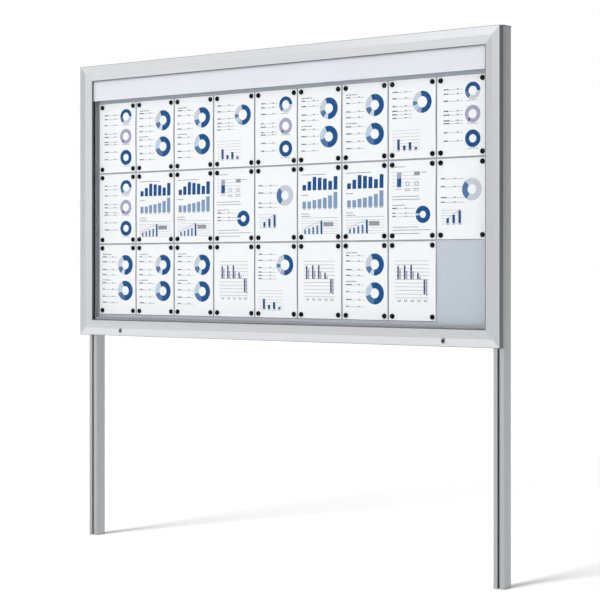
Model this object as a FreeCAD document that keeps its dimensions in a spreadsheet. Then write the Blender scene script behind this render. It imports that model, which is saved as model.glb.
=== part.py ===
import FreeCAD, Part

# Lockable outdoor notice board for 27 A4 sheets, on two extruded posts.
#
# A shallow aluminium case hangs on the front grooves of two posts. A mitred door with a clear
# pane closes it. The door turns on a bead and socket hinge that runs along its whole top edge,
# two gas struts hold it open, and two cam locks in its bottom rail lock it.
#
# The board faces -Y, X runs along it and Z is up. The origin is the middle of the ground
# footprint. Every section is drawn as (w, d): w is the distance in from the board's outer edge,
# d is the depth behind the door's front face. All lengths are in millimetres.
import math
import os
import re
from types import SimpleNamespace

import Sketcher
from FreeCAD import Placement, Rotation, Vector

# Driving dimensions: name in the sheet, value, what it measures
SIZES = [
    ("sheet_width", 210.0, "A4"),
    ("sheet_height", 297.0, "A4"),
    ("sheet_thickness", 0.3, "card sheet"),
    ("sheet_gap", 4.0, "gap between sheets"),
    ("sheet_columns", 9.0, "sheets side by side"),
    ("sheet_rows", 3.0, "rows of sheets"),
    ("side_margin", 15.0, "outer sheets to the door profiles at the sides"),
    ("bottom_margin", 25.0, "lowest sheets to the bottom door profile"),
    ("header_height", 86.0, "header panel below the top rail"),
    ("header_margin", 12.0, "header panel to the highest sheets"),
    ("leg_clearance", 865.0, "ground to the board's bottom edge"),
    ("frame_face", 64.0, "face width of a door profile"),
    ("frame_flat", 31.0, "outer flat band of that face"),
    ("bevel_drop", 7.0, "how far the inner band slopes back"),
    ("door_depth", 24.0, "door profile, front to back"),
    ("wall", 2.0, "wall of the door and case profiles"),
    ("edge_radius", 2.0, "rounding of the door's front edge"),
    ("shadow_front", 3.0, "depth at which the side groove begins"),
    ("shadow_width", 5.0, "width of the side groove"),
    ("shadow_depth", 2.5, "how deep the side groove is cut"),
    ("pane_thickness", 4.0, "clear pane"),
    ("pane_front", 13.0, "depth of the pane's front face"),
    ("pane_cover", 14.0, "how far the profile laps the pane"),
    ("rubber", 1.0, "leg of the glazing rubber"),
    ("header_thickness", 2.0, "header panel"),
    ("case_inset", 1.0, "case side, in from the door's side"),
    ("case_gap", 2.0, "shadow gap between door and case"),
    ("case_depth", 20.0, "case profile, front to back"),
    ("lip_width", 8.0, "front lip of the case that the cams catch"),
    ("inner_wall", 68.0, "place of the inner case wall, from the edge"),
    ("ledge_width", 3.0, "ledge that traps the back panel"),
    ("ledge_wall", 1.5, "thickness of that ledge"),
    ("panel_thickness", 1.5, "magnetic steel back panel"),
    ("panel_play", 0.2, "play of the back panel in its groove"),
    ("panel_entry", 1.0, "edge of the back panel, in from the inner wall"),
    ("rear_flange", 14.0, "flange behind the back panel"),
    ("seal_width", 5.0, "rubber seal on the inner wall"),
    ("seal_height", 3.7, "head of that seal"),
    ("seal_leg", 4.0, "legs that grip the wall"),
    ("seat_gap", 0.3, "gap where moving pieces come to rest"),
    ("hinge_inset", 6.0, "hinge axis below the top edge"),
    ("hinge_back", 7.0, "hinge axis behind the door's back"),
    ("bead_radius", 3.2, "round bead on the door's top rail"),
    ("socket_play", 0.05, "running fit of the bead"),
    ("socket_radius", 6.0, "outside of the hinge socket"),
    ("bead_arm", 2.0, "web that carries the bead"),
    ("bead_trim", 14.0, "bead cut back at each end"),
    ("post_width", 44.0, "post section along X"),
    ("post_depth", 52.0, "post section along Y"),
    ("post_wall", 2.5, "wall of the post section"),
    ("post_radius", 3.0, "rounded corners of the post"),
    ("post_inset", 10.0, "post side, in from the door's side"),
    ("post_rise", 2.0, "post top above the board's top edge"),
    ("groove_mouth", 10.0, "mouth of the post's front groove"),
    ("groove_width", 20.0, "groove behind the mouth"),
    ("groove_depth", 9.0, "front face to the groove's floor"),
    ("port_radius", 2.3, "screw port in each corner of the post"),
    ("thread_radius", 2.5, "M6 thread in the foot of each port"),
    ("thread_depth", 25.0, "M6 thread in the foot of each port"),
    ("port_side", 6.5, "port centre from the post's side"),
    ("port_front", 7.0, "port centre from the post's front or rear"),
    ("port_block", 12.0, "solid corner round a screw port"),
    ("cap_plate", 4.0, "visible plate of a post cap"),
    ("cap_plug", 22.0, "how far the cap reaches into the post"),
    ("cap_play", 0.2, "play of the cap's plug in the post"),
    ("cap_screw_radius", 2.1, "countersunk screws that hold the cap"),
    ("cap_screw_sink", 1.5, "depth of their 45 degree heads"),
    ("cap_screw_length", 15.0, "those screws, head to end"),
    ("bolt_radius", 4.0, "M8 mounting bolts"),
    ("bolt_play", 0.3, "clearance hole round a bolt"),
    ("bolt_head_radius", 7.0, "button head"),
    ("bolt_head_height", 4.0, "button head"),
    ("bolt_socket", 2.8, "hexagon socket, centre to corner"),
    ("thread_play", 0.05, "play of nuts and washers round a thread"),
    ("washer_radius", 9.0, "washer under the head"),
    ("washer_height", 1.6, "washer under the head"),
    ("bolt_drop", 90.0, "outer bolts from the board's top and bottom edges"),
    ("bolt_count", 3.0, "bolts in each side of the case"),
    ("nut_length", 22.0, "sliding nut along the groove"),
    ("nut_thickness", 5.0, "sliding nut"),
    ("key_leg", 70.0, "leg of a door corner key"),
    ("key_play", 0.3, "play of a key in the hollow profile"),
    ("key_wall", 4.0, "wall of a door corner key"),
    ("plate_leg", 64.0, "leg of a case corner plate"),
    ("plate_width", 26.0, "width of a case corner plate"),
    ("plate_edge", 10.0, "case corner plate from the board's edge"),
    ("plate_thickness", 2.0, "case corner plate"),
    ("rivet_place", 6.5, "rivet from the end of a plate's leg"),
    ("rivet_head_radius", 4.6, "rivet head"),
    ("rivet_head_height", 1.2, "rivet head"),
    ("lock_offset", 237.0, "lock from the board's side"),
    ("lock_height", 21.0, "lock above the board's bottom edge"),
    ("lock_barrel", 9.0, "radius of the lock barrel"),
    ("lock_rose", 11.5, "radius of the lock's front rose"),
    ("lock_proud", 1.5, "rose proud of the door's face"),
    ("rose_bevel", 2.0, "width of the rose's outer and inner bevels"),
    ("rose_rim", 0.5, "straight rim of the rose"),
    ("rose_dish", 0.75, "how far the rose dips to the plug"),
    ("lock_nut_radius", 12.6, "hexagon lock nut, centre to corner"),
    ("lock_nut_height", 3.0, "hexagon lock nut"),
    ("plug_radius", 6.0, "turning plug"),
    ("plug_play", 0.05, "running fit of the plug"),
    ("plug_proud", 0.6, "plug proud of the door's face"),
    ("keyway_width", 1.7, "slot for the key"),
    ("keyway_height", 8.0, "slot for the key"),
    ("keyway_depth", 14.0, "slot for the key"),
    ("tail_side", 7.0, "square tail that turns the cam"),
    ("cam_thickness", 2.0, "cam"),
    ("cam_reach", 17.0, "cam tip from the lock's axis"),
    ("cam_width", 10.0, "cam"),
    ("cam_tip", 2.5, "cut off corners of the cam's tip"),
    ("cam_hub", 7.5, "radius of the cam round the tail"),
    ("cam_screw_radius", 2.3, "screw that holds the cam"),
    ("cam_screw_reach", 7.0, "that screw in the plug"),
    ("cam_screw_head", 4.9, "radius of its head"),
    ("cam_screw_head_height", 2.3, "its head"),
    ("thread_bottom", 2.0, "bore past the end of that screw"),
    ("strut_inset", 36.0, "strut axis from the board's side"),
    ("strut_stand", 8.0, "strut axis in front of the case's rear wall"),
    ("strut_low", 440.0, "lower strut pivot below the hinge axis"),
    ("strut_high", 120.0, "upper strut pivot below the hinge axis"),
    ("strut_pin", 3.0, "radius of the pivot pins"),
    ("pin_play", 0.05, "running fit of a pin in an eye"),
    ("eye_width", 8.0, "eye of the rod, along the pin"),
    ("eye_radius", 7.0, "eye of the rod"),
    ("rod_radius", 3.0, "piston rod"),
    ("rod_boss_radius", 4.5, "boss between the eye and the rod"),
    ("rod_boss_height", 18.0, "top of that boss above the pivot"),
    ("rod_show", 21.5, "bare rod between boss and tube when shut"),
    ("piston_height", 7.0, "piston on the rod's end"),
    ("piston_rest", 14.0, "piston below the tube's head when shut"),
    ("tube_radius", 7.0, "pressure tube"),
    ("tube_wall", 0.6, "wall of the pressure tube"),
    ("tube_round", 3.0, "shoulder at each end of the tube"),
    ("tube_gland", 7.0, "gland in the tube's foot"),
    ("tube_neck", 17.0, "tube's head below the upper pivot"),
    ("neck_radius", 4.2, "neck between the tube and the cup"),
    ("cup_radius", 5.1, "ball cup at the upper pivot"),
    ("cup_length", 12.0, "ball cup, along the stud"),
    ("bracket_height", 36.0, "base of a strut bracket"),
    ("bracket_width", 16.0, "base of a strut bracket, past its ear"),
    ("bracket_ear", 14.0, "ear of a strut bracket"),
    ("stud_reach", 4.0, "stud from the ear to the ball cup"),
    ("clip_radius", 4.5, "clip on the pin's end"),
    ("clip_height", 1.5, "clip on the pin's end"),
    ("magnet_radius", 9.5, "round magnets"),
    ("magnet_height", 6.0, "round magnets"),
    ("magnet_inset", 16.0, "magnet centre from the sheet's edges"),
    ("cut_over", 1.0, "how far a cutter runs past the face it cuts"),
]

doc = FreeCAD.newDocument("notice_board")
sheet = doc.addObject("Spreadsheet::Sheet", "Sizes")
for row, (alias, value, note) in enumerate(SIZES, start=1):
    sheet.set(f"A{row}", alias)
    sheet.set(f"B{row}", str(value))
    sheet.set(f"C{row}", note)
    sheet.setAlias(f"B{row}", alias)
doc.recompute()

names = [alias for alias, value, note in SIZES]
size = SimpleNamespace(**{name: float(sheet.get(name)) for name in names})
NAME_PATTERN = re.compile(r"\b(" + "|".join(sorted(names, key=len, reverse=True)) + r")\b")

# The board's size follows from the sheets that it holds and the frame round them
DERIVED = {
    "board_width": "(sheet_columns * (sheet_width + sheet_gap) - sheet_gap"
                   " + 2 * (side_margin + frame_face))",
    "board_height": "(sheet_rows * (sheet_height + sheet_gap) - sheet_gap + bottom_margin"
                    " + header_margin + header_height + 2 * frame_face)",
}

# Depths and heights that several pieces share, written once as formulas on the sheet
FRONT_Y = "((lock_proud - door_depth - case_gap - case_depth - post_depth) / 2)"
TOP_Z = "(leg_clearance + board_height)"
CASE_FRONT = "(door_depth + case_gap)"
CASE_REAR = "(door_depth + case_gap + case_depth)"
PANEL_REAR = f"({CASE_REAR} - wall)"
PANEL_FRONT = f"({PANEL_REAR} - panel_thickness)"
HINGE_DEPTH = "(door_depth + hinge_back)"
LIP_INNER = "(frame_face - wall)"
POCKET_FLOOR = "(frame_face - pane_cover - wall)"
RUBBER_FLOOR = f"({POCKET_FLOOR} + rubber / 2)"
REAR_LIP = "(pane_front + pane_thickness + rubber)"
POST_CENTRE = "(post_inset + post_width / 2)"
SEAL_FRONT = "(door_depth + seat_gap)"
LOCK_END = f"({CASE_FRONT} + wall)"
BOLT_STEP = "((board_height - 2 * bolt_drop) / (bolt_count - 1))"

# The same places as numbers, for the pieces that are copied to several spots
pitch_x = size.sheet_width + size.sheet_gap
pitch_z = size.sheet_height + size.sheet_gap
half_width = (size.sheet_columns * pitch_x - size.sheet_gap) / 2 + size.side_margin \
    + size.frame_face
board_height = size.sheet_rows * pitch_z - size.sheet_gap + size.bottom_margin \
    + size.header_margin + size.header_height + 2 * size.frame_face
case_rear = size.door_depth + size.case_gap + size.case_depth
world = SimpleNamespace(
    half_width=half_width,
    front_y=(size.lock_proud - case_rear - size.post_depth) / 2,
    top_z=size.leg_clearance + board_height,
    panel_front=case_rear - size.wall - size.panel_thickness,
    case_rear=case_rear,
    bolt_step=(board_height - 2 * size.bolt_drop) / (size.bolt_count - 1),
)

nodes = []


def formula(text):
    """Write derived lengths out, then point every name of the sheet at its cell."""
    for name, meaning in DERIVED.items():
        text = re.sub(rf"\b{name}\b", meaning, text)
    return NAME_PATTERN.sub(r"Sizes.\1", text)


def bind(thing, path, text):
    thing.setExpression(path, formula(text))


def keep(thing, label):
    """Give a finished piece its own name and put it on the list of nodes."""
    thing.Label = label
    nodes.append(thing)
    return thing


def new_body(name):
    return doc.addObject("PartDesign::Body", name)


def place(body, x, y, z, rotation=Rotation()):
    """Put a body at a point given by formulas, turned by a fixed rotation."""
    body.Placement = Placement(Vector(), rotation)
    for axis, text in zip("xyz", (x, y, z)):
        bind(body, f"Placement.Base.{axis}", text)


def new_sketch(body, name, role, offset=None):
    """A sketch on one of the body's own origin planes, moved along its normal if asked."""
    sketch = body.newObject("Sketcher::SketchObject", name)
    plane = [item for item in body.Origin.OriginFeatures if item.Role == role][0]
    sketch.AttachmentSupport = [(plane, "")]
    sketch.MapMode = "FlatFace"
    if offset is not None:
        bind(sketch, "AttachmentOffset.Base.z", offset)
    return sketch


def add_outline(sketch, points):
    """A closed outline of straight lines whose corners are held by formulas."""
    first = sketch.GeometryCount
    count = len(points)
    start = [Vector(index * 3.0, (index % 2) * 2.0, 0) for index in range(count)]
    for index in range(count):
        sketch.addGeometry(Part.LineSegment(start[index], start[(index + 1) % count]), False)
    for index in range(count):
        following = first + (index + 1) % count
        sketch.addConstraint(Sketcher.Constraint("Coincident", first + index, 2, following, 1))
    for index, (across, up) in enumerate(points):
        for kind, text in (("DistanceX", across), ("DistanceY", up)):
            link = sketch.addConstraint(Sketcher.Constraint(kind, -1, 1, first + index, 1, 1.0))
            bind(sketch, f"Constraints[{link}]", text)


def add_circle(sketch, across, up, radius):
    """A circle whose centre and radius are held by formulas."""
    ring = sketch.addGeometry(Part.Circle(Vector(5, 5, 0), Vector(0, 0, 1), 2.0), False)
    for kind, text in (("DistanceX", across), ("DistanceY", up)):
        link = sketch.addConstraint(Sketcher.Constraint(kind, -1, 1, ring, 3, 1.0))
        bind(sketch, f"Constraints[{link}]", text)
    link = sketch.addConstraint(Sketcher.Constraint("Radius", ring, 2.0))
    bind(sketch, f"Constraints[{link}]", radius)


def rectangle(left, low, right, high):
    return [(left, low), (right, low), (right, high), (left, high)]


def pad(body, sketch, length, reverse=False, middle=False):
    feature = body.newObject("PartDesign::Pad", sketch.Name + "Pad")
    feature.Profile = sketch
    feature.SideType = "Symmetric" if middle else "One side"
    feature.Reversed = reverse
    bind(feature, "Length", length)
    return feature


def pocket_through(body, sketch):
    feature = body.newObject("PartDesign::Pocket", sketch.Name + "Pocket")
    feature.Profile = sketch
    feature.Type = "ThroughAll"
    feature.SideType = "Symmetric"
    return feature


def pocket(body, sketch, length, reverse=False):
    feature = body.newObject("PartDesign::Pocket", sketch.Name + "Pocket")
    feature.Profile = sketch
    feature.Reversed = reverse
    bind(feature, "Length", length)
    return feature


def revolve(body, points, role="XZ_Plane"):
    """Turn a half outline, drawn as (radius, height), about the body's Z axis."""
    sketch = new_sketch(body, body.Name + "Outline", role)
    add_outline(sketch, points)
    feature = body.newObject("PartDesign::Revolution", body.Name + "Turned")
    feature.Profile = sketch
    feature.ReferenceAxis = (sketch, ["V_Axis"])
    feature.Angle = 360.0
    return feature


def round_edges(body, name, radius, test):
    """Fillet the edges of the body's last shape that pass the test."""
    doc.recompute()
    base = body.Tip
    picked = [f"Edge{number}" for number, edge in enumerate(base.Shape.Edges, start=1)
              if test(edge)]
    fillet = body.newObject("PartDesign::Fillet", name)
    fillet.Base = (base, picked)
    bind(fillet, "Radius", radius)
    return fillet


def chamfer_edges(body, name, width, test):
    """Chamfer the edges of the body's last shape that pass the test."""
    doc.recompute()
    base = body.Tip
    picked = [f"Edge{number}" for number, edge in enumerate(base.Shape.Edges, start=1)
              if test(edge)]
    chamfer = body.newObject("PartDesign::Chamfer", name)
    chamfer.Base = (base, picked)
    bind(chamfer, "Size", width)
    return chamfer


def mirror_to_right(source, label):
    """The right hand piece is the left hand one mirrored about the middle of the board."""
    mirrored = doc.addObject("Part::Mirroring", label)
    mirrored.Source = source
    mirrored.Base = Vector(0, 0, 0)
    mirrored.Normal = Vector(1, 0, 0)
    return keep(mirrored, label)


def box(name, low, high):
    """A Part box between two corners given by formulas."""
    block = doc.addObject("Part::Box", name)
    for axis, side, start, end in zip("xyz", ("Length", "Width", "Height"), low, high):
        bind(block, f"Placement.Base.{axis}", start)
        bind(block, side, f"({end}) - ({start})")
    return block


def cylinder(name, base, radius, height, rotation=Rotation()):
    """A Part cylinder from a point given by formulas, along the turned Z axis."""
    drum = doc.addObject("Part::Cylinder", name)
    drum.Placement = Placement(Vector(), rotation)
    for axis, text in zip("xyz", base):
        bind(drum, f"Placement.Base.{axis}", text)
    bind(drum, "Radius", radius)
    bind(drum, "Height", height)
    return drum


def fuse(name, pieces):
    whole = doc.addObject("Part::MultiFuse", name)
    whole.Shapes = pieces
    whole.Refine = True
    return whole


def cut(name, base, tool):
    rest = doc.addObject("Part::Cut", name)
    rest.Base = base
    rest.Tool = tool
    return rest


def group_of(label, template, places):
    """One node that holds several equal, separate solids."""
    doc.recompute()
    copies = []
    for spot in places:
        copy = template.Shape.copy()
        copy.Placement = spot.multiply(template.Shape.Placement)
        copies.append(copy)
    feature = doc.addObject("Part::Feature", label)
    feature.Shape = Part.makeCompound(copies)
    return keep(feature, label)


ALONG_X = Rotation(Vector(0, 1, 0), 90)
INTO_BOARD = Rotation(Vector(1, 0, 0), -90)


# A bar of the door or the case: its section lies in the body's YZ plane as (w, d), it is
# extruded along X, and both ends are cut at 45 degrees so that four bars meet in mitres.
def section_bar(body, outlines, length):
    sketch = new_sketch(body, body.Name + "Section", "YZ_Plane")
    for points in outlines:
        add_outline(sketch, points)
    return pad(body, sketch, length)


def mitre_ends(body, length, reach):
    sketch = new_sketch(body, body.Name + "Mitres", "XY_Plane")
    reach = f"({reach})"
    add_outline(sketch, [("0", "0"), (reach, reach), ("0", reach)])
    add_outline(sketch, [(length, "0"), (length, reach), (f"{length} - {reach}", reach)])
    return pocket_through(body, sketch)


def hang_bar(body, side):
    """Turn a bar to its side of the board, with w pointing inwards and d to the rear."""
    half = "board_width / 2"
    turned = {"top": 0, "right": 90, "bottom": 180, "left": 270}[side]
    corner = {"top": (f"-{half}", TOP_Z), "right": (half, TOP_Z),
              "bottom": (half, "leg_clearance"), "left": (f"-{half}", "leg_clearance")}[side]
    turn = Rotation(Vector(0, 1, 0), turned).multiply(Rotation(Vector(1, 0, 0), -90))
    place(body, corner[0], FRONT_Y, corner[1], turn)


# Posts: an extrusion with a groove down the middle of its front, one hollow and a screw port
# in each corner. The ports are tapped at the foot, for the screws of a base plate.
def make_post():
    body = new_body("LeftPost")
    sketch = new_sketch(body, "PostSection", "XY_Plane")
    middle = "post_width / 2"
    mouth = ("(post_width - groove_mouth) / 2", "(post_width + groove_mouth) / 2")
    chamber = ("(post_width - groove_width) / 2", "(post_width + groove_width) / 2")
    add_outline(sketch, [
        ("0", "0"), (mouth[0], "0"), (mouth[0], "post_wall"), (chamber[0], "post_wall"),
        (chamber[0], "groove_depth"), (chamber[1], "groove_depth"), (chamber[1], "post_wall"),
        (mouth[1], "post_wall"), (mouth[1], "0"), ("post_width", "0"),
        ("post_width", "post_depth"), ("0", "post_depth")])
    inner = ("post_wall", "post_width - post_wall")
    rear = "post_depth - post_wall"
    shoulder = "post_depth - port_block"
    add_outline(sketch, [
        (inner[0], "port_block"), (inner[1], "port_block"), (inner[1], shoulder),
        ("post_width - port_block", shoulder), ("post_width - port_block", rear),
        ("port_block", rear), ("port_block", shoulder), (inner[0], shoulder)])
    for across in ("port_side", "post_width - port_side"):
        for deep in ("port_front", "post_depth - port_front"):
            add_circle(sketch, across, deep, "port_radius")
    pad(body, sketch, f"{TOP_Z} + post_rise")
    wide = size.post_width
    deep = size.post_depth
    corners = [(0, 0), (wide, 0), (wide, deep), (0, deep)]

    def at_corner(edge):
        centre = edge.CenterOfMass
        upright = abs(edge.BoundBox.ZLength - edge.Length) < 0.01
        near = any(math.hypot(centre.x - x, centre.y - y) < 0.01 for x, y in corners)
        return upright and near

    round_edges(body, "PostRounds", "post_radius", at_corner)
    threads = new_sketch(body, "FootThreads", "XY_Plane")
    for across in ("port_side", "post_width - port_side"):
        for deep in ("port_front", "post_depth - port_front"):
            add_circle(threads, across, deep, "thread_radius")
    pocket(body, threads, "thread_depth", reverse=True)
    place(body, "-board_width / 2 + post_inset", f"{FRONT_Y} + {CASE_REAR}", "0")
    return keep(body, "left_post")


# Post caps: a chamfered plate the size of the section with a hollow plug that fits the post's
# chamber, held by two screws in the rear ports.
def make_cap():
    body = new_body("LeftCap")
    plate = new_sketch(body, "CapPlate", "XY_Plane")
    add_outline(plate, rectangle("0", "0", "post_width", "post_depth"))
    pad(body, plate, "cap_plate")
    plug = new_sketch(body, "CapPlug", "XY_Plane")
    near = "(post_wall + cap_play)"
    low = "port_block + cap_play"
    high = "post_depth - port_block - cap_play"
    thick = "post_wall"
    add_outline(plug, rectangle(near, low, f"post_width - {near}", high))
    add_outline(plug, rectangle(f"{near} + {thick}", f"{low} + {thick}",
                                f"post_width - {near} - {thick}", f"{high} - {thick}"))
    pad(body, plug, "cap_plug", reverse=True)
    holes = new_sketch(body, "CapHoles", "XY_Plane")
    for across in ("port_side", "post_width - port_side"):
        add_circle(holes, across, "post_depth - port_front", "cap_screw_radius + bolt_play")
    pocket_through(body, holes)

    def on_top(edge):
        return abs(edge.BoundBox.ZMin - size.cap_plate) < 0.01 and edge.BoundBox.ZLength < 0.01

    def is_hole(edge):
        return on_top(edge) and edge.BoundBox.DiagonalLength < size.port_block

    def is_rim(edge):
        return on_top(edge) and edge.BoundBox.DiagonalLength > size.port_block

    chamfer_edges(body, "CapSinks", "cap_screw_sink", is_hole)
    round_edges(body, "CapRim", "cap_plate / 2", is_rim)
    place(body, "-board_width / 2 + post_inset", f"{FRONT_Y} + {CASE_REAR}",
          f"{TOP_Z} + post_rise")
    return keep(body, "left_post_cap")


# Cap screws: one countersunk screw in each rear port of each post.
def make_cap_screws():
    head = doc.addObject("Part::Cone", "CapScrewHead")
    bind(head, "Placement.Base.z", "cap_screw_length - cap_screw_sink")
    bind(head, "Radius1", "cap_screw_radius")
    bind(head, "Radius2", "cap_screw_radius + cap_screw_sink")
    bind(head, "Height", "cap_screw_sink")
    shank = cylinder("CapScrewShank", ("0", "0", "0"), "cap_screw_radius",
                     "cap_screw_length - cap_screw_sink")
    screw = fuse("CapScrew", [shank, head])
    places = []
    half = world.half_width
    low = world.top_z + size.post_rise + size.cap_plate - size.cap_screw_length
    rear = world.front_y + world.case_rear + size.post_depth - size.port_front
    for across in (size.port_side, size.post_width - size.port_side):
        for side in (-1, 1):
            left = side * (half - size.post_inset - across)
            places.append(Placement(Vector(left, rear, low), Rotation()))
    return group_of("cap_screws", screw, places)


# Door profiles: hollow outer chamber, a flat band and a band that slopes in to the pane, a
# glazing pocket behind it, and a dark groove round the outer side.
SLOPE = f"bevel_drop / ({LIP_INNER} - frame_flat)"
DOOR_OUTLINE = [
    ("0", "0"), ("frame_flat", "0"), (LIP_INNER, "bevel_drop"),
    ("frame_face", "bevel_drop + wall"), ("frame_face", "pane_front - rubber"),
    (LIP_INNER, "pane_front - rubber"), (LIP_INNER, "bevel_drop + wall"),
    (POCKET_FLOOR, f"wall + {SLOPE} * ({POCKET_FLOOR} - frame_flat)"),
    (POCKET_FLOOR, REAR_LIP), (LIP_INNER, REAR_LIP), (LIP_INNER, f"{REAR_LIP} + wall"),
    (POCKET_FLOOR, f"{REAR_LIP} + wall"), (POCKET_FLOOR, "door_depth"), ("0", "door_depth"),
    ("0", "shadow_front + shadow_width"), ("shadow_depth", "shadow_front + shadow_width"),
    ("shadow_depth", "shadow_front"), ("0", "shadow_front")]
CHAMBER_EDGE = "(shadow_depth + wall)"
CHAMBER_END = f"({POCKET_FLOOR} - wall)"
DOOR_CHAMBER = [
    (CHAMBER_EDGE, "wall"), ("frame_flat", "wall"),
    (CHAMBER_END, f"wall + {SLOPE} * ({CHAMBER_END} - frame_flat)"),
    (CHAMBER_END, "door_depth - wall"), (CHAMBER_EDGE, "door_depth - wall")]


def make_door_bar(name, label, side, length):
    body = new_body(name)
    section_bar(body, [DOOR_OUTLINE, DOOR_CHAMBER], length)
    if side == "top":
        arm = new_sketch(body, "HingeArm", "YZ_Plane")
        add_outline(arm, rectangle("hinge_inset - bead_arm / 2", "door_depth - wall / 2",
                                   "hinge_inset + bead_arm / 2", HINGE_DEPTH))
        pad(body, arm, length)
        bead = new_sketch(body, "HingeBead", "YZ_Plane")
        add_circle(bead, "hinge_inset", HINGE_DEPTH, "bead_radius")
        pad(body, bead, length)
        trim = new_sketch(body, "HingeTrim", "XZ_Plane")
        reach = f"{HINGE_DEPTH} + 2 * bead_radius"
        add_outline(trim, rectangle("0", "door_depth", "bead_trim", reach))
        add_outline(trim, rectangle(f"{length} - bead_trim", "door_depth", length, reach))
        pocket_through(body, trim)
    mitre_ends(body, length, "frame_face + wall")
    if side == "bottom":
        holes = new_sketch(body, "LockHoles", "XY_Plane")
        for along in ("lock_offset", f"{length} - lock_offset"):
            add_circle(holes, along, "lock_height", "lock_barrel + seat_gap")
        pocket_through(body, holes)

    def front_edge(edge):
        centre = edge.CenterOfMass
        straight = abs(edge.BoundBox.XLength - edge.Length) < 0.01
        return straight and abs(centre.y) < 0.01 and abs(centre.z) < 0.01

    round_edges(body, name + "Round", "edge_radius", front_edge)
    hang_bar(body, side)
    return keep(body, label)


# Case profiles: an outer wall with a lip that the cams catch, a rear wall against the posts,
# an inner wall that carries the seal, and a groove for the back panel.
INNER_END = "(inner_wall + wall)"
CASE_TAIL = [
    ("inner_wall", PANEL_REAR), ("inner_wall", f"{SEAL_FRONT} + seal_height"),
    (INNER_END, f"{SEAL_FRONT} + seal_height"),
    (INNER_END, f"{PANEL_FRONT} - panel_play - ledge_wall"),
    (f"{INNER_END} + ledge_width", f"{PANEL_FRONT} - panel_play - ledge_wall"),
    (f"{INNER_END} + ledge_width", f"{PANEL_FRONT} - panel_play"),
    (INNER_END, f"{PANEL_FRONT} - panel_play"), (INNER_END, PANEL_REAR),
    (f"{INNER_END} + rear_flange", PANEL_REAR), (f"{INNER_END} + rear_flange", CASE_REAR),
    ("case_inset", CASE_REAR)]
CASE_OUTLINE = [
    ("case_inset", CASE_FRONT), ("case_inset + lip_width", CASE_FRONT),
    ("case_inset + lip_width", f"{CASE_FRONT} + wall"),
    ("case_inset + wall", f"{CASE_FRONT} + wall"),
    ("case_inset + wall", PANEL_REAR)] + CASE_TAIL
CASE_TOP_OUTLINE = [
    ("case_inset", HINGE_DEPTH), ("case_inset + wall", HINGE_DEPTH),
    ("case_inset + wall", PANEL_REAR)] + CASE_TAIL


# The hinge socket wraps 240 degrees round the bead and is open to the front and the top, so
# that the bead's arm can swing from straight ahead to straight up. Each corner of the mouth is
# an angle from straight ahead and a distance from the axis in socket radii.
MOUTH_CORNERS = ((-20, 1.5), (10, 2.0), (70, 2.0), (100, 1.5))


def add_hinge_socket(body, length):
    shell = new_sketch(body, "SocketShell", "YZ_Plane")
    add_circle(shell, "hinge_inset", HINGE_DEPTH, "socket_radius")
    pad(body, shell, length)
    bore = new_sketch(body, "SocketBore", "YZ_Plane")
    add_circle(bore, "hinge_inset", HINGE_DEPTH, "bead_radius + socket_play")
    pocket_through(body, bore)
    mouth = new_sketch(body, "SocketMouth", "YZ_Plane")
    corners = [("hinge_inset", HINGE_DEPTH)]
    for angle, far in MOUTH_CORNERS:
        across = math.sin(math.radians(angle)) * far
        ahead = math.cos(math.radians(angle)) * far
        corners.append((f"hinge_inset - ({across:.4f}) * socket_radius",
                        f"{HINGE_DEPTH} - ({ahead:.4f}) * socket_radius"))
    add_outline(mouth, corners)
    pocket_through(body, mouth)


def make_case_bar(name, label, side, length):
    body = new_body(name)
    outline = CASE_TOP_OUTLINE if side == "top" else CASE_OUTLINE
    section_bar(body, [outline], length)
    if side == "top":
        add_hinge_socket(body, length)
    mitre_ends(body, length, f"{INNER_END} + rear_flange + wall")
    if side == "left":
        holes = new_sketch(body, "BoltHoles", "XY_Plane")
        for step in range(int(size.bolt_count)):
            along = f"board_height - bolt_drop - {step} * {BOLT_STEP}"
            add_circle(holes, along, POST_CENTRE, "bolt_radius + bolt_play")
        pocket_through(body, holes)
    hang_bar(body, side)
    return keep(body, label)


# Rings that run round the board: flat frames between two rectangles, laid one on the other.
def add_ring(body, name, outer, inner, front, rear):
    """A rectangular frame: outer and inner are distances in from the board's edge."""
    sketch = new_sketch(body, name, "XZ_Plane", f"-({front})")
    for inset in (outer, inner):
        add_outline(sketch, rectangle(f"-board_width / 2 + ({inset})", inset,
                                      f"board_width / 2 - ({inset})",
                                      f"board_height - ({inset})"))
    return pad(body, sketch, f"({rear}) - ({front})", reverse=True)


def make_glazing_rubber():
    body = new_body("GlazingRubber")
    web = f"{RUBBER_FLOOR} + rubber"
    add_ring(body, "RubberWeb", RUBBER_FLOOR, web, "pane_front - rubber", REAR_LIP)
    add_ring(body, "RubberFront", web, "frame_face", "pane_front - rubber", "pane_front")
    add_ring(body, "RubberRear", web, LIP_INNER, "pane_front + pane_thickness", REAR_LIP)
    place(body, "0", FRONT_Y, "leg_clearance")
    return keep(body, "glazing_rubber")


def make_door_seal():
    body = new_body("DoorSeal")
    outer = "inner_wall - (seal_width - wall) / 2"
    inner = "inner_wall + wall + (seal_width - wall) / 2"
    head = f"{SEAL_FRONT} + seal_height"
    add_ring(body, "SealHead", outer, inner, SEAL_FRONT, head)
    add_ring(body, "SealOuterLeg", outer, "inner_wall", head, f"{head} + seal_leg")
    add_ring(body, "SealInnerLeg", INNER_END, inner, head, f"{head} + seal_leg")
    place(body, "0", FRONT_Y, "leg_clearance")
    return keep(body, "door_seal")


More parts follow.
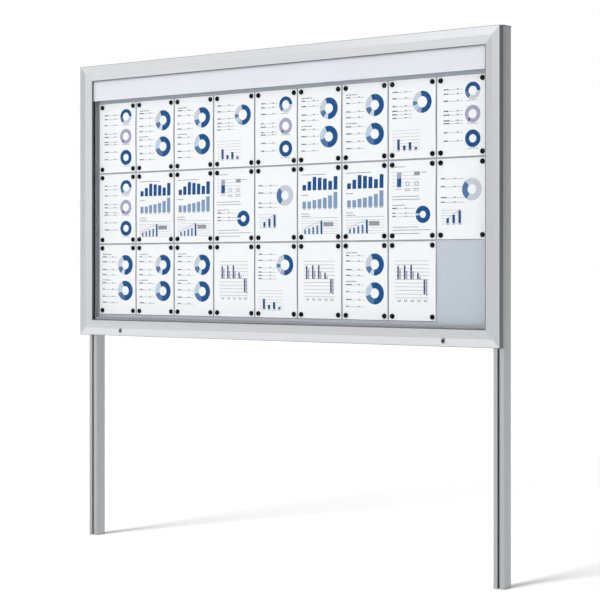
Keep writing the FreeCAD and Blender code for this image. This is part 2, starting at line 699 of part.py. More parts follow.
def make_pane():
    edge = f"({RUBBER_FLOOR} + rubber)"
    pane = box("Pane", (f"-board_width / 2 + {edge}", f"{FRONT_Y} + pane_front",
                        f"leg_clearance + {edge}"),
               (f"board_width / 2 - {edge}", f"{FRONT_Y} + pane_front + pane_thickness",
                f"{TOP_Z} - {edge}"))
    return keep(pane, "clear_pane")


# The header panel is bonded to the back of the pane, between the rear lips of the profiles.
def make_header():
    front = f"{FRONT_Y} + pane_front + pane_thickness"
    side = f"({LIP_INNER} + seat_gap)"
    panel = box("Header", (f"-board_width / 2 + {side}", front,
                           f"{TOP_Z} - frame_face - header_height"),
                (f"board_width / 2 - {side}", f"{front} + header_thickness",
                 f"{TOP_Z} - {side}"))
    return keep(panel, "header_panel")


def make_back_panel():
    edge = f"({INNER_END} + panel_entry)"
    panel = box("BackPanel", (f"-board_width / 2 + {edge}", f"{FRONT_Y} + {PANEL_FRONT}",
                              f"leg_clearance + {edge}"),
                (f"board_width / 2 - {edge}", f"{FRONT_Y} + {PANEL_REAR}",
                 f"{TOP_Z} - {edge}"))
    return keep(panel, "back_panel")


def corner_places():
    """The four corners of the board, for a piece drawn at the bottom left corner."""
    half = world.half_width
    low = size.leg_clearance
    spots = [(-half, low, 0), (half, low, -90), (half, world.top_z, 180),
             (-half, world.top_z, 90)]
    return [Placement(Vector(x, world.front_y, z), Rotation(Vector(0, 1, 0), turn))
            for x, z, turn in spots]


# Door corner keys: cast angles pressed into the hollow chambers of two profiles at a mitre.
def make_corner_keys():
    body = new_body("CornerKey")
    near = f"({CHAMBER_EDGE} + key_play)"
    far = f"({CHAMBER_END} - key_play)"
    front = f"wall + {SLOPE} * ({CHAMBER_END} - frame_flat) + key_play"
    sketch = new_sketch(body, "KeyPlan", "XZ_Plane", f"-({front})")
    end = f"{far} + key_leg"
    add_outline(sketch, [(near, near), (end, near), (end, far), (far, far), (far, end),
                         (near, end)])
    inside = f"({near} + key_wall)"
    outside = f"({far} - key_wall)"
    add_outline(sketch, [(inside, inside), (f"{end} - key_wall", inside),
                         (f"{end} - key_wall", outside), (outside, outside),
                         (outside, f"{end} - key_wall"), (inside, f"{end} - key_wall")])
    pad(body, sketch, f"door_depth - wall - key_play - ({front})", reverse=True)
    return group_of("door_corner_keys", body, corner_places())


# Case corner plates: flat angles in the case channel that tie two case profiles together. Each
# is fixed by two rivets, whose heads are drawn as part of the plate.
def make_corner_plates():
    body = new_body("CornerPlate")
    sketch = new_sketch(body, "PlatePlan", "XZ_Plane", f"-({PANEL_REAR} - plate_thickness)")
    near = "plate_edge"
    far = "(plate_edge + plate_width)"
    end = "(plate_edge + plate_leg)"
    add_outline(sketch, [(near, near), (end, near), (end, far), (far, far), (far, end),
                         (near, end)])
    pad(body, sketch, "plate_thickness", reverse=True)
    heads = new_sketch(body, "RivetHeads", "XZ_Plane", f"-({PANEL_REAR} - plate_thickness)")
    middle = "plate_edge + plate_width / 2"
    along = "plate_edge + plate_leg - rivet_place"
    add_circle(heads, along, middle, "rivet_head_radius")
    add_circle(heads, middle, along, "rivet_head_radius")
    pad(body, heads, "rivet_head_height")
    return group_of("case_corner_plates", body, corner_places())


# Mounting hardware: three button head bolts and washers in each side of the case, each with
# a sliding nut in the post's groove.
def bolt_places():
    places = []
    half = world.half_width
    centre = size.post_inset + size.post_width / 2
    for side in (-1, 1):
        for step in range(int(size.bolt_count)):
            height = world.top_z - size.bolt_drop - step * world.bolt_step
            spot = Vector(side * (half - centre), world.front_y, height)
            places.append(Placement(spot, Rotation()))
    return places


def make_bolts():
    under_head = f"{PANEL_REAR} - washer_height"
    head = cylinder("BoltHead", ("0", f"{under_head} - bolt_head_height", "0"),
                    "bolt_head_radius", "bolt_head_height", INTO_BOARD)
    socket = doc.addObject("Part::Prism", "BoltSocket")
    socket.Polygon = 6
    socket.Placement = Placement(Vector(), INTO_BOARD)
    bind(socket, "Placement.Base.y", f"{under_head} - bolt_head_height")
    bind(socket, "Circumradius", "bolt_socket")
    bind(socket, "Height", "bolt_head_height / 2")
    reach = f"{CASE_REAR} + post_wall + nut_thickness"
    start = f"({under_head} - bolt_head_height / 4)"
    shank = cylinder("BoltShank", ("0", start, "0"), "bolt_radius", f"{reach} - {start}",
                     INTO_BOARD)
    bolt = cut("Bolt", fuse("BoltBlank", [head, shank]), socket)
    return group_of("mounting_bolts", bolt, bolt_places())


def make_washers():
    disc = cylinder("WasherDisc", ("0", f"{PANEL_REAR} - washer_height", "0"),
                    "washer_radius", "washer_height", INTO_BOARD)
    hole = cylinder("WasherHole", ("0", f"{PANEL_REAR} - washer_height - cut_over", "0"),
                    "bolt_radius + thread_play", "washer_height + 2 * cut_over", INTO_BOARD)
    return group_of("bolt_washers", cut("Washer", disc, hole), bolt_places())


def make_sliding_nuts():
    front = f"{CASE_REAR} + post_wall"
    half = "(groove_width / 2 - seat_gap)"
    block = box("NutBlock", (f"-{half}", front, "-nut_length / 2"),
                (half, f"{front} + nut_thickness", "nut_length / 2"))
    bore = cylinder("NutBore", ("0", f"{front} - cut_over", "0"), "bolt_radius + thread_play",
                    "nut_thickness + 2 * cut_over", INTO_BOARD)
    return group_of("sliding_nuts", cut("SlidingNut", block, bore), bolt_places())


# Cam locks: a chrome rose and barrel through the bottom rail, a hexagon nut behind it, a plug
# with a keyway that turns in the barrel, and a cam screwed to the plug's square tail. The
# barrel ends level with the back of the case's lip, so that the cam turns just behind it.
LOCK_X = "-board_width / 2 + lock_offset"
LOCK_Z = "leg_clearance + lock_height"


def make_lock_barrel():
    body = new_body("LeftLockBarrel")
    bore = "plug_radius + plug_play"
    revolve(body, [(bore, "rose_dish - lock_proud"), (f"{bore} + rose_bevel", "-lock_proud"),
                   ("lock_rose - rose_bevel", "-lock_proud"), ("lock_rose", "-rose_rim"),
                   ("lock_rose", "0"), ("lock_barrel", "0"), ("lock_barrel", LOCK_END),
                   (bore, LOCK_END)])
    place(body, LOCK_X, FRONT_Y, LOCK_Z, INTO_BOARD)
    return keep(body, "left_lock_barrel")


def make_lock_nuts():
    nut = doc.addObject("Part::Prism", "LockNutBlank")
    nut.Polygon = 6
    nut.Placement = Placement(Vector(), INTO_BOARD)
    bind(nut, "Placement.Base.y", "door_depth")
    bind(nut, "Circumradius", "lock_nut_radius")
    bind(nut, "Height", "lock_nut_height")
    bore = cylinder("LockNutBore", ("0", "door_depth - cut_over", "0"),
                    "lock_barrel + thread_play", "lock_nut_height + 2 * cut_over", INTO_BOARD)
    places = []
    for side in (-1, 1):
        across = side * (world.half_width - size.lock_offset)
        spot = Vector(across, world.front_y, size.leg_clearance + size.lock_height)
        places.append(Placement(spot, Rotation()))
    return group_of("lock_nuts", cut("LockNut", nut, bore), places)


CAM_FRONT = f"({LOCK_END} + seat_gap)"
CAM_BACK = f"({LOCK_END} + seat_gap + cam_thickness)"


def make_lock_plug():
    body = new_body("LeftLockPlug")
    disc = new_sketch(body, "PlugRound", "XY_Plane", "-plug_proud")
    add_circle(disc, "0", "0", "plug_radius")
    pad(body, disc, f"plug_proud + {LOCK_END}")
    tail = new_sketch(body, "PlugTail", "XY_Plane", LOCK_END)
    side = "tail_side / 2"
    add_outline(tail, rectangle(f"-{side}", f"-{side}", side, side))
    pad(body, tail, "seat_gap + cam_thickness")
    keyway = new_sketch(body, "PlugKeyway", "XY_Plane", "-plug_proud")
    add_outline(keyway, rectangle("-keyway_width / 2", "-keyway_height / 2",
                                  "keyway_width / 2", "keyway_height / 2"))
    pocket(body, keyway, "keyway_depth", reverse=True)
    thread = new_sketch(body, "PlugThread", "XY_Plane", CAM_BACK)
    add_circle(thread, "0", "0", "cam_screw_radius")
    pocket(body, thread, "cam_screw_reach + thread_bottom")
    place(body, LOCK_X, FRONT_Y, LOCK_Z, INTO_BOARD)
    return keep(body, "left_lock_plug")


def make_lock_cam():
    body = new_body("LeftLockCam")
    flat = new_sketch(body, "CamPlan", "XY_Plane", CAM_FRONT)
    half = "cam_width / 2"
    add_outline(flat, [("0", f"-{half}"), ("cam_reach - cam_tip", f"-{half}"),
                       ("cam_reach", f"cam_tip - {half}"), ("cam_reach", f"{half} - cam_tip"),
                       ("cam_reach - cam_tip", half), ("0", half)])
    pad(body, flat, "cam_thickness")
    hub = new_sketch(body, "CamHub", "XY_Plane", CAM_FRONT)
    add_circle(hub, "0", "0", "cam_hub")
    pad(body, hub, "cam_thickness")
    hole = new_sketch(body, "CamHole", "XY_Plane", CAM_FRONT)
    side = "tail_side / 2"
    add_outline(hole, rectangle(f"-{side}", f"-{side}", side, side))
    pocket_through(body, hole)
    place(body, LOCK_X, FRONT_Y, LOCK_Z, INTO_BOARD)
    return keep(body, "left_lock_cam")


def make_cam_screw():
    under_head = (LOCK_X, f"{FRONT_Y} + {CAM_BACK}", LOCK_Z)
    end = (LOCK_X, f"{FRONT_Y} + {CAM_BACK} - cam_screw_reach", LOCK_Z)
    head = cylinder("CamScrewHead", under_head, "cam_screw_head", "cam_screw_head_height",
                    INTO_BOARD)
    shank = cylinder("CamScrewShank", end, "cam_screw_radius - thread_play",
                     "cam_screw_reach + cam_screw_head_height / 2", INTO_BOARD)
    return keep(fuse("LeftCamScrew", [head, shank]), "left_cam_screw")


# Gas struts: the rod's eye turns on a pin in the case, the tube slides over the rod's piston,
# and the tube's upper ball cup sits on the stud of a bracket on the door.
STRUT_X = "-board_width / 2 + strut_inset"
STRUT_Y = f"{FRONT_Y} + {PANEL_REAR} - strut_stand"
HINGE_Z = f"({TOP_Z} - hinge_inset)"
STRUT_Z = f"({HINGE_Z} - strut_low)"
STUD_Z = f"({HINGE_Z} - strut_high)"
STRUT_SPAN = "(strut_low - strut_high)"
TUBE_TOP = f"({STRUT_SPAN} - tube_neck)"
TUBE_FOOT = "(rod_boss_height + rod_boss_radius - rod_radius + rod_show)"
TUBE_BORE = "(tube_radius - tube_wall)"


def make_strut_rod():
    body = new_body("LeftStrutRod")
    piston = f"{TUBE_TOP} - piston_rest"
    skirt = f"{TUBE_BORE} - 2 * pin_play"
    neck = "rod_boss_height + rod_boss_radius - rod_radius"
    boss = "clip_radius + seat_gap"
    revolve(body, [("0", boss), ("rod_boss_radius", boss),
                   ("rod_boss_radius", "rod_boss_height"), ("rod_radius", neck),
                   ("rod_radius", f"{piston} - piston_height"),
                   (skirt, f"{piston} - piston_height"), (skirt, piston), ("0", piston)])
    eye = new_sketch(body, "RodEye", "YZ_Plane")
    add_circle(eye, "0", "0", "eye_radius")
    pad(body, eye, "eye_width", middle=True)
    hole = new_sketch(body, "RodEyeHole", "YZ_Plane")
    add_circle(hole, "0", "0", "strut_pin + pin_play")
    pocket_through(body, hole)
    place(body, STRUT_X, STRUT_Y, STRUT_Z)
    return keep(body, "left_strut_rod")


def make_strut_tube():
    body = new_body("LeftStrutTube")
    gland = "rod_radius + pin_play"
    gland_top = f"{TUBE_FOOT} + tube_gland"
    shoulder = f"{TUBE_TOP} - tube_round"
    revolve(body, [(gland, TUBE_FOOT), ("tube_radius - tube_round / 2", TUBE_FOOT),
                   ("tube_radius", f"{TUBE_FOOT} + tube_round / 2"),
                   ("tube_radius", shoulder), ("neck_radius", TUBE_TOP),
                   ("neck_radius", STRUT_SPAN), ("0", STRUT_SPAN), ("0", shoulder),
                   (TUBE_BORE, f"{shoulder} - tube_wall"), (TUBE_BORE, gland_top),
                   (gland, gland_top)])
    cup = new_sketch(body, "TubeCup", "YZ_Plane")
    add_circle(cup, "0", STRUT_SPAN, "cup_radius")
    pad(body, cup, "cup_length", middle=True)
    place(body, STRUT_X, STRUT_Y, STRUT_Z)
    return keep(body, "left_strut_tube")


def make_lower_bracket():
    """An angle on the case's rear wall with the pin that the rod's eye turns on."""
    rear = f"{FRONT_Y} + {PANEL_REAR}"
    ear_side = f"({STRUT_X} + eye_width / 2 + wall)"
    half = "bracket_ear / 2"
    base = box("LowBase", (ear_side, f"{rear} - wall", f"{STRUT_Z} - bracket_height / 2"),
               (f"{ear_side} + bracket_width", rear, f"{STRUT_Z} + bracket_height / 2"))
    ear = box("LowEar", (ear_side, f"{STRUT_Y} - {half}", f"{STRUT_Z} - {half}"),
              (f"{ear_side} + wall", rear, f"{STRUT_Z} + {half}"))
    start = f"({STRUT_X} - eye_width / 2 - seat_gap - clip_height)"
    pin = cylinder("LowPin", (start, STRUT_Y, STRUT_Z), "strut_pin", f"{ear_side} - {start}",
                   ALONG_X)
    clip = cylinder("LowClip", (start, STRUT_Y, STRUT_Z), "clip_radius", "clip_height", ALONG_X)
    shoulder = cylinder("LowShoulder", (f"{ear_side} - wall + seat_gap", STRUT_Y, STRUT_Z),
                        "clip_radius", "wall - seat_gap", ALONG_X)
    return keep(fuse("LeftLowerBracket", [base, ear, pin, clip, shoulder]),
                "left_lower_strut_bracket")


def make_upper_bracket():
    """An angle on the door's back whose stud ends in the strut's ball cup."""
    cup_side = f"({STRUT_X} - cup_length / 2)"
    ear_side = f"({cup_side} - stud_reach)"
    half = "bracket_ear / 2"
    back = f"{FRONT_Y} + door_depth"
    base = box("HighBase", (f"{ear_side} - bracket_width", back,
                            f"{STUD_Z} - bracket_height / 2"),
               (ear_side, f"{back} + wall", f"{STUD_Z} + bracket_height / 2"))
    ear = box("HighEar", (f"{ear_side} - wall", back, f"{STUD_Z} - {half}"),
              (ear_side, f"{STRUT_Y} + {half}", f"{STUD_Z} + {half}"))
    stud = cylinder("HighStud", (f"{ear_side} - wall / 2", STRUT_Y, STUD_Z), "strut_pin",
                    "wall / 2 + stud_reach - seat_gap", ALONG_X)
    return keep(fuse("LeftUpperBracket", [base, ear, stud]), "left_upper_strut_bracket")


# Sheets and magnets: 26 of the 27 places hold an A4 sheet, each under four round magnets, which
# are drawn with ten sides. The place at the bottom right is empty.
def sheet_corners():
    columns = int(size.sheet_columns)
    rows = int(size.sheet_rows)
    left = size.frame_face + size.side_margin - world.half_width
    low = size.leg_clearance + size.frame_face + size.bottom_margin
    corners = []
    for row in range(rows):
        for column in range(columns):
            if row == 0 and column == columns - 1:
                continue
            corners.append((left + column * pitch_x, low + row * pitch_z))
    return corners


def make_sheets():
    card = box("SheetCard", ("0", "-sheet_thickness", "0"),
               ("sheet_width", "0", "sheet_height"))
    depth = world.front_y + world.panel_front
    places = [Placement(Vector(x, depth, z), Rotation()) for x, z in sheet_corners()]
    return group_of("notice_sheets", card, places)


def make_magnets():
    disc = doc.addObject("Part::Prism", "MagnetDisc")
    disc.Polygon = 10
    disc.Placement = Placement(Vector(), Rotation(Vector(1, 0, 0), 90))
    bind(disc, "Circumradius", "magnet_radius")
    bind(disc, "Height", "magnet_height")
    depth = world.front_y + world.panel_front - size.sheet_thickness
    places = []
    for x, z in sheet_corners():
        for across in (size.magnet_inset, size.sheet_width - size.magnet_inset):
            for up in (size.magnet_inset, size.sheet_height - size.magnet_inset):
                places.append(Placement(Vector(x + across, depth, z + up), Rotation()))
    return group_of("sheet_magnets", disc, places)


mirror_to_right(make_post(), "right_post")
mirror_to_right(make_cap(), "right_post_cap")
make_cap_screws()

make_case_bar("CaseTop", "case_top_rail", "top", "board_width")
make_case_bar("CaseBottom", "case_bottom_rail", "bottom", "board_width")
mirror_to_right(make_case_bar("CaseLeft", "case_left_stile", "left", "board_height"),
                "case_right_stile")
make_corner_plates()
make_back_panel()
make_door_seal()
make_bolts()
make_washers()
make_sliding_nuts()

make_door_bar("DoorTop", "door_top_rail", "top", "board_width")
make_door_bar("DoorBottom", "door_bottom_rail", "bottom", "board_width")
mirror_to_right(make_door_bar("DoorLeft", "door_left_stile", "left", "board_height"),
                "door_right_stile")
make_corner_keys()
make_glazing_rubber()
make_pane()
make_header()

mirror_to_right(make_lock_barrel(), "right_lock_barrel")
make_lock_nuts()
mirror_to_right(make_lock_plug(), "right_lock_plug")
mirror_to_right(make_lock_cam(), "right_lock_cam")
mirror_to_right(make_cam_screw(), "right_cam_screw")

mirror_to_right(make_lower_bracket(), "right_lower_strut_bracket")
mirror_to_right(make_upper_bracket(), "right_upper_strut_bracket")
mirror_to_right(make_strut_rod(), "right_strut_rod")
mirror_to_right(make_strut_tube(), "right_strut_tube")

make_sheets()
make_magnets()
doc.recompute()

faults = []
for thing in doc.Objects:
    if "Invalid" in thing.State or "Error" in thing.State:
        faults.append(f"{thing.Name} ({thing.Label}): {thing.State}")
for node in nodes:
    if node.Shape.isNull() or not node.Shape.isValid():
        faults.append(f"{node.Label}: shape is null or not valid")
if faults:
    raise RuntimeError("; ".join(faults))

os.makedirs("parts", exist_ok=True)
for node in nodes:
    node.Shape.exportStep(f"parts/{node.Label}.step")
    print(f"{node.Label}: {len(node.Shape.Solids)} solids, {node.Shape.Volume / 1000:.1f} cm3")
print(len(nodes), "nodes")
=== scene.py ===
import math

import bpy
import numpy as np
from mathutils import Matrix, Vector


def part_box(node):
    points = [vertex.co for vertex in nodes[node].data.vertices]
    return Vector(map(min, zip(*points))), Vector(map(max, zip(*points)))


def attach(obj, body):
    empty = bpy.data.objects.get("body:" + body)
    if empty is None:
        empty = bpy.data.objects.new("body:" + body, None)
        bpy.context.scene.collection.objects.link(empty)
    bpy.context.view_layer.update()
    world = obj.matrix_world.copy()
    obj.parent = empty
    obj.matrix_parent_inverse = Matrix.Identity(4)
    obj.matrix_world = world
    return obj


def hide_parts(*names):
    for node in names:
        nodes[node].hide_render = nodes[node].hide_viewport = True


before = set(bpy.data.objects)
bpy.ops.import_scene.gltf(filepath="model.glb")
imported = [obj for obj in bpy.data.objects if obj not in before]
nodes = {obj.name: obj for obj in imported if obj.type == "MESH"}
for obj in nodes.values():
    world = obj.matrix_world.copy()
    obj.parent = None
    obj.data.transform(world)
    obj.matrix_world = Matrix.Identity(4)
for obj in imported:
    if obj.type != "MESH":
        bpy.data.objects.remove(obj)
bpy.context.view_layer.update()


# Posts
# Two aluminium box extrusions, silver anodised and cut square at both ends. The die draws fine
# lines along the bar, and the satin etch before anodising turns the metal's mirror into a soft
# sheen, so each face shows one even grey with faint streaks along the bar.

def linear(colour):
    """sRGB hex to linear light: ((c + 0.055) / 1.055) to the power 2.4, or c / 12.92 if dark."""
    shares = np.array([int(colour[place:place + 2], 16) for place in (1, 3, 5)]) / 255
    curve = np.where(shares > 0.04045, ((shares + 0.055) / 1.055) ** 2.4, shares / 12.92)
    return (*curve.tolist(), 1.0)


def add(tree, kind, settings=(), links=()):
    """One shader node with its own values and plain socket values, and its sockets linked. A
    socket goes by its name, or by its number where several have the same name."""
    made = tree.nodes.new("ShaderNode" + kind)
    for name, value in dict(settings).items():
        if isinstance(name, int) or name in made.inputs:
            made.inputs[name].default_value = value
        else:
            setattr(made, name, value)
    for name, source in dict(links).items():
        tree.links.new(made.inputs[name], source)
    return made


def new_material(name, **plain):
    """A material and its Principled shader, whose plain values are given in the shader's words."""
    made = bpy.data.materials.new(name)
    made.use_nodes = True
    shader = made.node_tree.nodes["Principled BSDF"]
    for word, value in plain.items():
        title = word.replace("_", " ").title().replace("Ior", "IOR")
        shader.inputs[title].default_value = value
    return made, made.node_tree, shader


def noise_on(tree, feature, detail=3.0):
    """Noise on Object coordinates whose features measure ``feature`` metres along X, Y and Z."""
    place = add(tree, "TexCoord")
    stretched = add(tree, "Mapping", {"Scale": [1 / length for length in feature]},
                    {"Vector": place.outputs["Object"]})
    return add(tree, "TexNoise", {"Scale": 1.0, "Detail": detail},
               {"Vector": stretched.outputs["Vector"]}).outputs["Fac"]


# Nearly all of a noise lies between these two values.
noise_low, noise_high = 0.3, 0.7


def tint(tree, shader, factor, dark, light):
    """Base colour that runs from one hex colour to another as the noise goes from low to high."""
    spread = add(tree, "MapRange", {"From Min": noise_low, "From Max": noise_high},
                 {"Value": factor})
    mixed = add(tree, "Mix", {"data_type": "RGBA", 6: linear(dark), 7: linear(light)},
                {0: spread.outputs["Result"]})
    tree.links.new(shader.inputs["Base Color"], mixed.outputs[2])


def vary_roughness(tree, shader, factor, smooth, rough):
    """Roughness that runs from ``smooth`` to ``rough`` as the noise goes from low to high."""
    spread = add(tree, "MapRange", {"From Min": noise_low, "From Max": noise_high,
                                    "To Min": smooth, "To Max": rough}, {"Value": factor})
    tree.links.new(shader.inputs["Roughness"], spread.outputs["Result"])


def raise_surface(tree, shader, factor, height):
    """Bump that stands ``height`` metres where the noise is at its highest."""
    bump = add(tree, "Bump", {"Distance": height, "Strength": 1.0}, {"Height": factor})
    tree.links.new(shader.inputs["Normal"], bump.outputs["Normal"])


def extruded_aluminium(name, along, dark, light):
    """Satin anodised extrusion: die lines run along the axis ``along``, 0 for X and 2 for Z.

    Real die lines are about 0.3 mm apart, too fine to show here, so they are drawn 4 mm apart
    and 0.03 mm deep, and each runs for 1.5 m."""
    line_gap, line_depth, line_length = 0.004, 0.00003, 1.5
    feature = [line_gap] * 3
    feature[along] = line_length
    made, tree, shader = new_material(name, metallic=1.0)
    lines = noise_on(tree, feature)
    tint(tree, shader, lines, dark, light)
    vary_roughness(tree, shader, lines, smooth=0.30, rough=0.40)
    raise_surface(tree, shader, lines, line_depth)
    return made


def dress(material, *names):
    """Give the material to every slot of the named pieces."""
    for name in names:
        for place in nodes[name].material_slots:
            place.material = material


post_metal = extruded_aluminium("anodised post extrusion", 2, "#B9BABC", "#C6C7C9")
dress(post_metal, "left_post", "right_post")


# Post caps
# Injection moulded black polypropylene, pressed into the posts' ends. The mould is spark
# eroded, which leaves a fine even grain and a dull sheen.

def moulded_plastic(name, dark, light, grain=0.0012, rough=0.62, gloss=0.5):
    """Moulded plastic. Real spark grain is about 0.1 mm, drawn coarser so that it shows, with
    pits 0.08 mm deep."""
    pit_depth, uneven = 0.00008, 0.08
    made, tree, shader = new_material(name, ior=1.49, specular_ior_level=gloss)
    pits = noise_on(tree, [grain] * 3, detail=2.0)
    tint(tree, shader, pits, dark, light)
    vary_roughness(tree, shader, pits, rough - uneven, rough + uneven)
    raise_surface(tree, shader, pits, pit_depth)
    return made


cap_plastic = moulded_plastic("moulded black polypropylene", "#3A3B3D", "#4A4B4D")
dress(cap_plastic, "left_post_cap", "right_post_cap")


# Screws, bolts, washers and nuts
# Turned and pressed steel, bright zinc plated. The passivated zinc has a cool grey sheen that
# drifts a little towards blue and straw.

def zinc_plate(name, dark, light):
    """Zinc plated steel: cloudy colour over 5 mm."""
    cloud_size = 0.005
    made, tree, shader = new_material(name, metallic=1.0)
    cloud = noise_on(tree, [cloud_size] * 3)
    tint(tree, shader, cloud, dark, light)
    vary_roughness(tree, shader, cloud, smooth=0.27, rough=0.41)
    return made


zinc = zinc_plate("bright zinc plated steel", "#A9AFB5", "#C9C8C1")
dress(zinc, "cap_screws", "mounting_bolts", "bolt_washers", "sliding_nuts", "lock_nuts",
      "left_cam_screw", "right_cam_screw", "left_lock_cam", "right_lock_cam",
      "left_lower_strut_bracket", "right_lower_strut_bracket",
      "left_upper_strut_bracket", "right_upper_strut_bracket")


# Case
# Four mitred extrusions behind the door, anodised like it, and four cast corner plates that
# are riveted to them. Their base colour is painted a tone darker than the door's, as painted
# shade for the less light that the case's sides and inside see.

# Painted shade: these anodised colours are set a tone darker than the door's.
case_rail_metal = extruded_aluminium("anodised case rail", 0, "#B0B2B5", "#BABCBF")
case_stile_metal = extruded_aluminium("anodised case stile", 2, "#B0B2B5", "#BABCBF")
dress(case_rail_metal, "case_top_rail", "case_bottom_rail")
dress(case_stile_metal, "case_left_stile", "case_right_stile")


def cast_aluminium(name, dark, light):
    """Pressure die casting: dull grey skin with 3 mm flow clouds and a pebble of 0.06 mm."""
    cloud_size, pebble = 0.003, 0.00006
    made, tree, shader = new_material(name, metallic=1.0)
    skin = noise_on(tree, [cloud_size] * 3, detail=5.0)
    tint(tree, shader, skin, dark, light)
    vary_roughness(tree, shader, skin, smooth=0.42, rough=0.58)
    raise_surface(tree, shader, skin, pebble)
    return made


casting = cast_aluminium("die cast aluminium", "#8F9194", "#A5A7AA")
dress(casting, "case_corner_plates", "door_corner_keys")


# Back panel
# Sheet steel, powder coated pale blue-grey, so that magnets hold. The baked powder leaves a
# faint orange peel and a satin gloss.

def powder_coat(name, dark, light, rough=0.45):
    """Powder coat: its tone drifts over 0.6 m, and its orange peel, in truth 1 mm wide, is
    drawn 2 mm wide and 0.04 mm high."""
    drift_size, peel_size, peel_height = 0.6, 0.002, 0.00004
    uneven = 0.05
    made, tree, shader = new_material(name, ior=1.5)
    drift = noise_on(tree, [drift_size] * 3, detail=2.0)
    tint(tree, shader, drift, dark, light)
    skin = noise_on(tree, [peel_size] * 3, detail=1.0)
    vary_roughness(tree, shader, skin, rough - uneven, rough + uneven)
    raise_surface(tree, shader, skin, peel_height)
    return made


panel_coat = powder_coat("pale blue-grey powder coat", "#BBC3CC", "#C0C7D1")
dress(panel_coat, "back_panel")


# Seal and glazing rubber
# Extruded EPDM, matt, with a dusty bloom: grey for the seal that shows through the pane, and
# black for the channel that holds the pane.

def extruded_rubber(name, dark, light):
    """EPDM profile: bloom in 8 mm clouds."""
    cloud_size = 0.008
    made, tree, shader = new_material(name, ior=1.5)
    bloom = noise_on(tree, [cloud_size] * 3)
    tint(tree, shader, bloom, dark, light)
    vary_roughness(tree, shader, bloom, smooth=0.65, rough=0.82)
    return made


dress(extruded_rubber("extruded grey rubber", "#7E8184", "#8B8E91"), "door_seal")
dress(extruded_rubber("extruded black rubber", "#161617", "#222224"), "glazing_rubber")


# Door frame
# Four mitred, satin anodised extrusions with a flat outer band and an inner band that slopes
# back to the pane. The rails' lines run along X and the stiles' along Z. The stiles' base colour
# is painted a tone darker than the rails', and the bars' outer sides and edges a dark tone, both
# as painted shade.

def with_painted_shade_side(made, axis, middle, half):
    """Painted shade on the bars' outer sides, in a dark tone: what lies within 1.6 mm of
    ``half`` from ``middle`` along ``axis``, 0 for X and 2 for Z."""
    # Painted shade: the dark tone of the outer sides, and how far in from the edge it reaches.
    painted_shade_tone, painted_shade_depth = "#7C7E81", 0.0016
    tree = made.node_tree
    shader = tree.nodes["Principled BSDF"]
    front = shader.inputs["Base Color"].links[0].from_socket
    parts = add(tree, "SeparateXYZ", {}, {"Vector": add(tree, "TexCoord").outputs["Object"]})
    away = add(tree, "Math", {"operation": "SUBTRACT", 1: middle}, {0: parts.outputs[axis]})
    reach = add(tree, "Math", {"operation": "ABSOLUTE"}, {0: away.outputs["Value"]})
    side = add(tree, "Math", {"operation": "GREATER_THAN", 1: half - painted_shade_depth},
               {0: reach.outputs["Value"]})
    mixed = add(tree, "Mix", {"data_type": "RGBA", 7: linear(painted_shade_tone)},
                {0: side.outputs["Value"], 6: front})
    tree.links.new(shader.inputs["Base Color"], mixed.outputs[2])
    return made


door_low, door_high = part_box("door_left_stile")
door_half_width = -door_low.x
door_middle = (door_low.z + door_high.z) / 2
door_half_height = (door_high.z - door_low.z) / 2
door_rail_metal = with_painted_shade_side(
    extruded_aluminium("anodised door rail", 0, "#E3E5E8", "#E9EBEE"),
    axis=2, middle=door_middle, half=door_half_height)
# Painted shade: the stiles' base colour is a tone darker than the rails'.
door_stile_metal = with_painted_shade_side(
    extruded_aluminium("anodised door stile", 2, "#C8CACD", "#CED0D3"),
    axis=0, middle=0.0, half=door_half_width)
dress(door_rail_metal, "door_top_rail", "door_bottom_rail")
dress(door_stile_metal, "door_left_stile", "door_right_stile")


# Pane
# Clear cast acrylic, 4 mm thick, with polished faces that wave very slightly and a coat that
# keeps them from mirroring, so the index is matched below acrylic's own 1.49. Lamps and
# daylight pass through it, so it is left out of the way of their rays.

def clear_acrylic(name):
    """Clear acrylic whose faces wave by 0.2 mm over 0.4 m, open to shadow and diffuse rays."""
    wave_length, wave_height = 0.4, 0.0002
    made, tree, shader = new_material(name, ior=1.12, roughness=0.02, transmission_weight=1.0)
    shader.inputs["Base Color"].default_value = linear("#FCFDFD")
    waves = noise_on(tree, [wave_length] * 3, detail=1.0)
    raise_surface(tree, shader, waves, wave_height)
    path = add(tree, "LightPath")
    passes = add(tree, "Math", {"operation": "MAXIMUM"},
                 {0: path.outputs["Is Shadow Ray"], 1: path.outputs["Is Diffuse Ray"]})
    open_way = add(tree, "BsdfTransparent")
    both = add(tree, "MixShader", {}, {"Fac": passes.outputs["Value"], 1: shader.outputs["BSDF"],
                                       2: open_way.outputs["BSDF"]})
    tree.links.new(tree.nodes["Material Output"].inputs["Surface"], both.outputs["Shader"])
    return made


dress(clear_acrylic("clear cast acrylic"), "clear_pane")


# Glazing lip
# The visible edge of the glazing rubber, in dark grey: a lip that stands a millimetre and a half
# into the opening, and closes the joint between the door's edge and the pane.

def build(name, parts, material, body):
    """One piece from (points, faces) parts, riding on a body."""
    starts = np.cumsum([0] + [len(points) for points, _ in parts[:-1]])
    points = np.concatenate([points for points, _ in parts])
    faces = np.concatenate([faces + start for start, (_, faces) in zip(starts, parts)])
    mesh = bpy.data.meshes.new(name)
    mesh.from_pydata(points.tolist(), [], faces.tolist())
    mesh.materials.append(material)
    piece = bpy.data.objects.new(name, mesh)
    bpy.context.scene.collection.objects.link(piece)
    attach(piece, body)
    return piece


